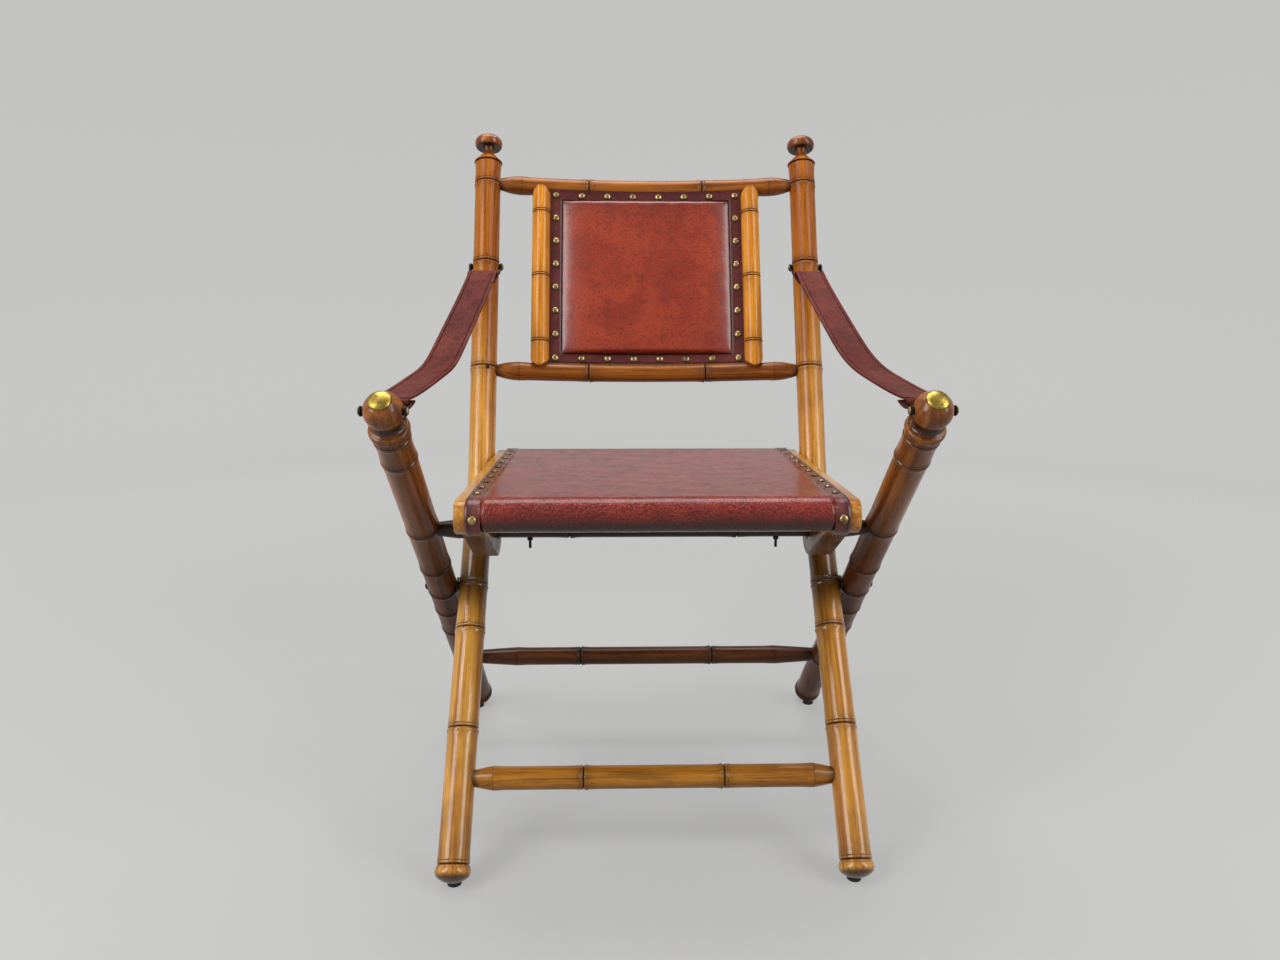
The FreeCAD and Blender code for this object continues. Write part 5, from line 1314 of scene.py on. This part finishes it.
def leather(name, base, worn, dark, pebbles, strength, creases=0.0, gloss=0.36, coat=0.3,
            coat_roughness=0.3, specular=0.25):
    """Leather of one colour, with its pebbles to the metre, the depth of its grain and its polish."""
    material, tree, shader = new_material(name)
    grain, stain_and_shade = attributes(tree)
    look = add(tree, "ShaderNodeGroup", {
        "Place": grain, "Stain and shade": stain_and_shade, "Base": colour(*base), "Worn": colour(*worn), "Dark": colour(*dark),
        "Pebbles": pebbles, "Creases": creases, "Gloss": gloss}, node_tree=LEATHER).outputs
    feed(tree, shader, {
        "Base Color": look["Color"], "Roughness": look["Roughness"], "Coat Weight": coat,
        "Coat Roughness": coat_roughness, "Specular IOR Level": specular,
        "Normal": bumped(tree, look["Height"], strength, LEATHER_BUMP_DEPTH)})
    return material


def metal(name, bright, tarnish, roughness, metallic=1.0, amount=0.6):
    """Metal with cloudy tarnish, fine scratches and a darkening where the mesh's stain and shade says:
    tarnish on the disc's edge, painted shadow round the nail and rivet heads.
    """
    material, tree, shader = new_material(name)
    place = own_place(tree)
    tarnish = colour(*tarnish)
    clouds = noise(tree, place, 160.0, 5.0, 0.7)
    scratches = noise(tree, scaled(tree, place, 900, 300, 2400), 1.0, 2.0)
    clean = mix(tree, ramp(tree, clouds, 0.42, 0.7, 0.0, amount), colour(*bright), tarnish)
    black = mix(tree, 1.0, tarnish, TARNISH_AND_SHADE_TINT, "MULTIPLY")
    feed(tree, shader, {
        "Base Color": mix(tree, attributes(tree)[1], clean, black), "Metallic": metallic,
        "Roughness": ramp(tree, clouds, 0.3, 0.75, roughness, roughness + METAL_CLOUDING),
        "Normal": bumped(tree, scratches, *METAL_BUMP)})
    return material


def rubber():
    """Black rubber, greyed by dust."""
    material, tree, shader = new_material("black_rubber")
    dust = ramp(tree, noise(tree, own_place(tree), 240.0, 4.0, 0.7), 0.5, 0.8, 0.0, 0.5)
    tone = mix(tree, dust, colour(18, 17, 16), colour(58, 53, 48))
    feed(tree, shader, {"Base Color": tone, "Roughness": 0.75})
    return material


def dress(node, material):
    """Gives a node of the frame its material."""
    data = frame["nodes"][node].data
    data.materials.clear()
    data.materials.append(material)


BOARD_UNDERSIDE = local(SEAT, (0.0, RAIL_IN_SEAT[1], BOARD_BOTTOM))
HOOK_SHADE_TOP = (float(BOARD_UNDERSIDE[2]) - FLOOR) * MM - 0.002
WOOD = wood_group()
LEATHER = leather_group()
AMBER = wood("amber_wood", (226, 164, 70), (188, 120, 38), (96, 50, 14), 0.7,
             tint=(0.58, 0.38, 0.2), heights=(0.42, 0.74))
RED_AMBER = wood("red_amber_wood", (160, 92, 36), (116, 60, 19), (52, 23, 8), 0.4)
# Painted shade: the tint darkens the arm posts below the seat, where its shadow falls.
BROWN = wood("brown_wood", (162, 96, 40), (116, 64, 24), (56, 28, 10), 0.4,
             tint=(0.6, 0.5, 0.44), heights=(0.46, 0.32))
# Painted shade: the seat rail, in the shadow under the seat, gets a nearly black copy of the wood.
RAIL_BROWN = wood("seat_rail_wood", (70, 40, 20), (48, 26, 12), (22, 11, 5), 0.2)
OCHRE = wood("ochre_wood", (226, 152, 42), (196, 118, 22), (120, 62, 10), 0.35)
# Painted shade: the tint darkens each board's hook below its underside, which hangs in the seat's shadow.
BOARD = wood("board_wood", (212, 150, 60), (168, 104, 34), (84, 45, 15),
             tint=(0.3, 0.24, 0.2), heights=(HOOK_SHADE_TOP, HOOK_SHADE_TOP - 0.014))
RAIL_WOOD = wood("rail_wood", (164, 96, 30), (126, 66, 18), (50, 22, 7), 0.25)
HONEY = wood("front_stretcher_wood", (182, 120, 38), (146, 90, 24), (78, 42, 11), 0.35)
# Painted shade: the rear stretcher, in the seat's shadow, gets a far darker copy of the stretcher wood.
UMBER = wood("rear_stretcher_wood", (106, 58, 24), (74, 38, 15), (32, 15, 6), 0.2)
INNER_WOOD = wood("inner_wood", (196, 150, 96), (170, 120, 68), (110, 72, 40), 0.2, False)
SEAT_LEATHER = leather("seat_leather_look", (126, 26, 13), (148, 40, 20), (36, 11, 8),
                       430.0, 1.0, 0.4, 0.3, 0.5, 0.2)
PAD_LEATHER = leather("pad_leather_look", (134, 38, 14), (156, 54, 20), (56, 14, 8),
                      560.0, 0.5, gloss=0.36, coat=1.0, coat_roughness=0.24, specular=0.15)
BORDER_LEATHER = leather("border_leather_look", (86, 28, 26), (106, 42, 36), (34, 12, 12),
                         520.0, 0.35, gloss=0.28, coat=0.4)
BAND_LEATHER = leather("band_leather_look", (104, 34, 26), (132, 52, 40), (34, 13, 12),
                       480.0, 0.4, gloss=0.3, coat=0.5)
STRAP_LEATHER = leather("strap_leather_look", (86, 27, 19), (108, 40, 28), (34, 11, 9),
                        560.0, 0.3, 0.5, gloss=0.46, coat=0.04, specular=0.1)
BRASS = metal("polished_brass", (176, 150, 72), (84, 62, 26), 0.3, amount=0.8)
NAIL_BRASS = metal("nail_brass", (176, 152, 104), (56, 42, 26), 0.24, amount=0.9)
RIVET_METAL = metal("worn_rivet_metal", (196, 176, 132), (96, 78, 50), 0.26, amount=0.5)
IRON = metal("black_iron", (38, 35, 33), (16, 14, 13), 0.42, 0.85)
WASHER_WOOD = wood("washer_wood", (84, 52, 28), (58, 34, 18), (30, 16, 9), 0.2, False)
RUBBER = rubber()

for name, side in SIDES:
    back_post(name, side, AMBER)
    finial(name, side, RED_AMBER)
    arm_post(name, side, BROWN)
    arm_disc(name, side, BRASS)
    slat(name, side, OCHRE)
    side_board(name, side, BOARD)
    seat_band(name, side, BAND_LEATHER)
    arm_strap(name, side, STRAP_LEATHER)
    front_bar, rear_bar = strap_ends(side)
    ball = local(ARM, (0.0, 0.0, ARM_REACH))
    post_rivet = local(UPPER, (0.0, 0.0, POST_BAIL_REACH + POST_BAIL_RIVET_RISE))
    bail("ball_bail_" + name, side * ARM_HALF_SPREAD, ball, front_bar, "arm_frame", IRON)
    bail("post_bail_" + name, side * HALF_SPREAD, post_rivet, rear_bar, "back_frame", IRON)
    for node in ("front_glide_", "rear_glide_"):
        dress(node + name, RUBBER)
    for node in ("pivot_bolt_", "pivot_nut_", "seat_pivot_"):
        dress(node + name, IRON)
    dress("pivot_washer_" + name, WASHER_WOOD)
cross_members({"back_top_rail": RAIL_WOOD, "back_bottom_rail": RAIL_WOOD, "front_stretcher": HONEY,
               "rear_stretcher": UMBER, "seat_rail": RAIL_BROWN})
rivets("ball_rivets", ARM_HALF_SPREAD, ball, BALL_RADIUS, "arm_frame", RIVET_METAL, IRON)
rivets("post_rivets", HALF_SPREAD, post_rivet, BACK_RADIUS, "back_frame", RIVET_METAL, IRON)
back_border(BORDER_LEATHER)
back_pad(PAD_LEATHER)
rear_cover(PAD_LEATHER)
back_nails(NAIL_BRASS)
seat_nails(NAIL_BRASS)
seat_sheet(SEAT_LEATHER)
for node in ("back_core", "seat_front_cross", "seat_rear_cross"):
    dress(node, INNER_WOOD)
for node in ("seat_rail_pins", "rail_lock_pin"):
    dress(node, IRON)

# Stage, in metres

STAGE_RADIUS = 2.8
STAGE_CURVE = 0.9
STAGE_HEIGHT = 3.2
STAGE_SIDES = 96
FLOOR_GLOW = 0.34
WALL_GLOW = 0.46
BACKDROP_TONE = (122, 122, 121)
GLOW_TONE = (1.0, 1.0, 0.985, 1.0)
GLOW_START = 0.5
LAMPS = (
    ("overhead", (-0.1, 0.45, 2.5), (0.0, 0.0, 0.3), (2.0, 1.2), 40.0),
    ("left_strip", (-2.0, -1.5, 1.8), (0.0, 0.0, 0.6), (1.1, 2.6), 64.0),
    ("right_strip", (2.1, -1.3, 1.8), (0.0, 0.0, 0.6), (0.9, 2.6), 48.0),
)
WORLD_TONE = (242, 243, 245)
WORLD_STRENGTH = 0.25


def backdrop():
    """Pale round floor that curves up into a pale wall: a profile turned about the chair."""
    angle = np.linspace(0, math.pi / 2, 24)
    curve = STAGE_RADIUS + STAGE_CURVE * np.sin(angle)
    radius = np.concatenate([[0.001], curve, curve[-1:]])
    height = np.concatenate([[0.0], STAGE_CURVE * (1 - np.cos(angle)), [STAGE_HEIGHT]])
    cos, sin = around(STAGE_SIDES)
    x, y = radius[:, None] * cos, radius[:, None] * sin
    shape = Shape().grid(np.stack([x, y, np.broadcast_to(height[:, None], x.shape)], -1), caps=False)
    mesh = bpy.data.meshes.new("backdrop")
    mesh.from_pydata(np.concatenate(shape.points).tolist(), [], shape.faces)
    mesh.shade_smooth()
    material, tree, shader = new_material("pale_backdrop")
    rays = add(tree, "ShaderNodeLightPath").outputs
    seen = maths(tree, "ADD", rays["Is Camera Ray"], rays["Is Glossy Ray"])
    seen = maths(tree, "ADD", seen, rays["Is Transmission Ray"])
    reach = add(tree, "ShaderNodeVectorMath", {0: own_place(tree)}, operation="LENGTH").outputs["Value"]
    pale = ramp(tree, reach, GLOW_START, STAGE_RADIUS, FLOOR_GLOW, WALL_GLOW)
    feed(tree, shader, {
        "Base Color": colour(*BACKDROP_TONE), "Emission Color": GLOW_TONE, "Roughness": 0.9,
        "Specular IOR Level": 0.2, "Emission Strength": maths(tree, "MULTIPLY", seen, pale)})
    mesh.materials.append(material)
    placed("backdrop", mesh)


def soft_light(name, place, target, size, power):
    """Rectangular area light aimed at a point."""
    data = bpy.data.lights.new(name, "AREA")
    data.shape = "RECTANGLE"
    data.size, data.size_y = size
    data.energy = power
    light = placed(name, data)
    light.location = place
    light.rotation_mode = "QUATERNION"
    light.rotation_quaternion = (Vector(target) - Vector(place)).to_track_quat("-Z", "Y")


backdrop()
for lamp in LAMPS:
    soft_light(*lamp)
world = bpy.data.worlds.new("pale_room")
world.use_nodes = True
background = world.node_tree.nodes["Background"].inputs
feed(world.node_tree, background, {"Color": colour(*WORLD_TONE), "Strength": WORLD_STRENGTH})
bpy.context.scene.world = world
bpy.context.scene.view_settings.view_transform = "Standard"

# Camera of the photograph, in the drawn frame

CAMERA_PLACE = (-42.57, -949.79, 692.98)
CAMERA_YAW = 0.02399
CAMERA_PITCH = 0.20274
CAMERA_ROLL = 0.00195
IMAGE_WIDTH_PX = 1280
FOCAL_PX = 920.79
SENSOR_WIDTH_MM = 36.0
FAR_LIMIT = 50.0


def camera():
    """Camera turned slightly to the right, tilted down and rolled, as the photograph was taken."""
    data = bpy.data.cameras.new("photograph")
    data.sensor_width = SENSOR_WIDTH_MM
    data.lens = FOCAL_PX / IMAGE_WIDTH_PX * SENSOR_WIDTH_MM
    data.clip_end = FAR_LIMIT
    eye = placed("photograph", data)
    bpy.context.scene.camera = eye
    ahead = np.array((math.sin(CAMERA_YAW), math.cos(CAMERA_YAW), 0.0))
    right = np.array((math.cos(CAMERA_YAW), -math.sin(CAMERA_YAW), 0.0))
    up = math.sin(CAMERA_PITCH) * ahead + math.cos(CAMERA_PITCH) * np.array((0.0, 0.0, 1.0))
    forward = np.cross(up, right)
    right, up = (math.cos(CAMERA_ROLL) * right + math.sin(CAMERA_ROLL) * up,
                 math.cos(CAMERA_ROLL) * up - math.sin(CAMERA_ROLL) * right)
    turn = Matrix(np.column_stack([right, up, -forward]).tolist())
    eye.rotation_mode = "QUATERNION"
    eye.rotation_quaternion = turn.to_quaternion()
    eye.location = tuple((np.array(CAMERA_PLACE) - ORIGIN) * MM)


camera()
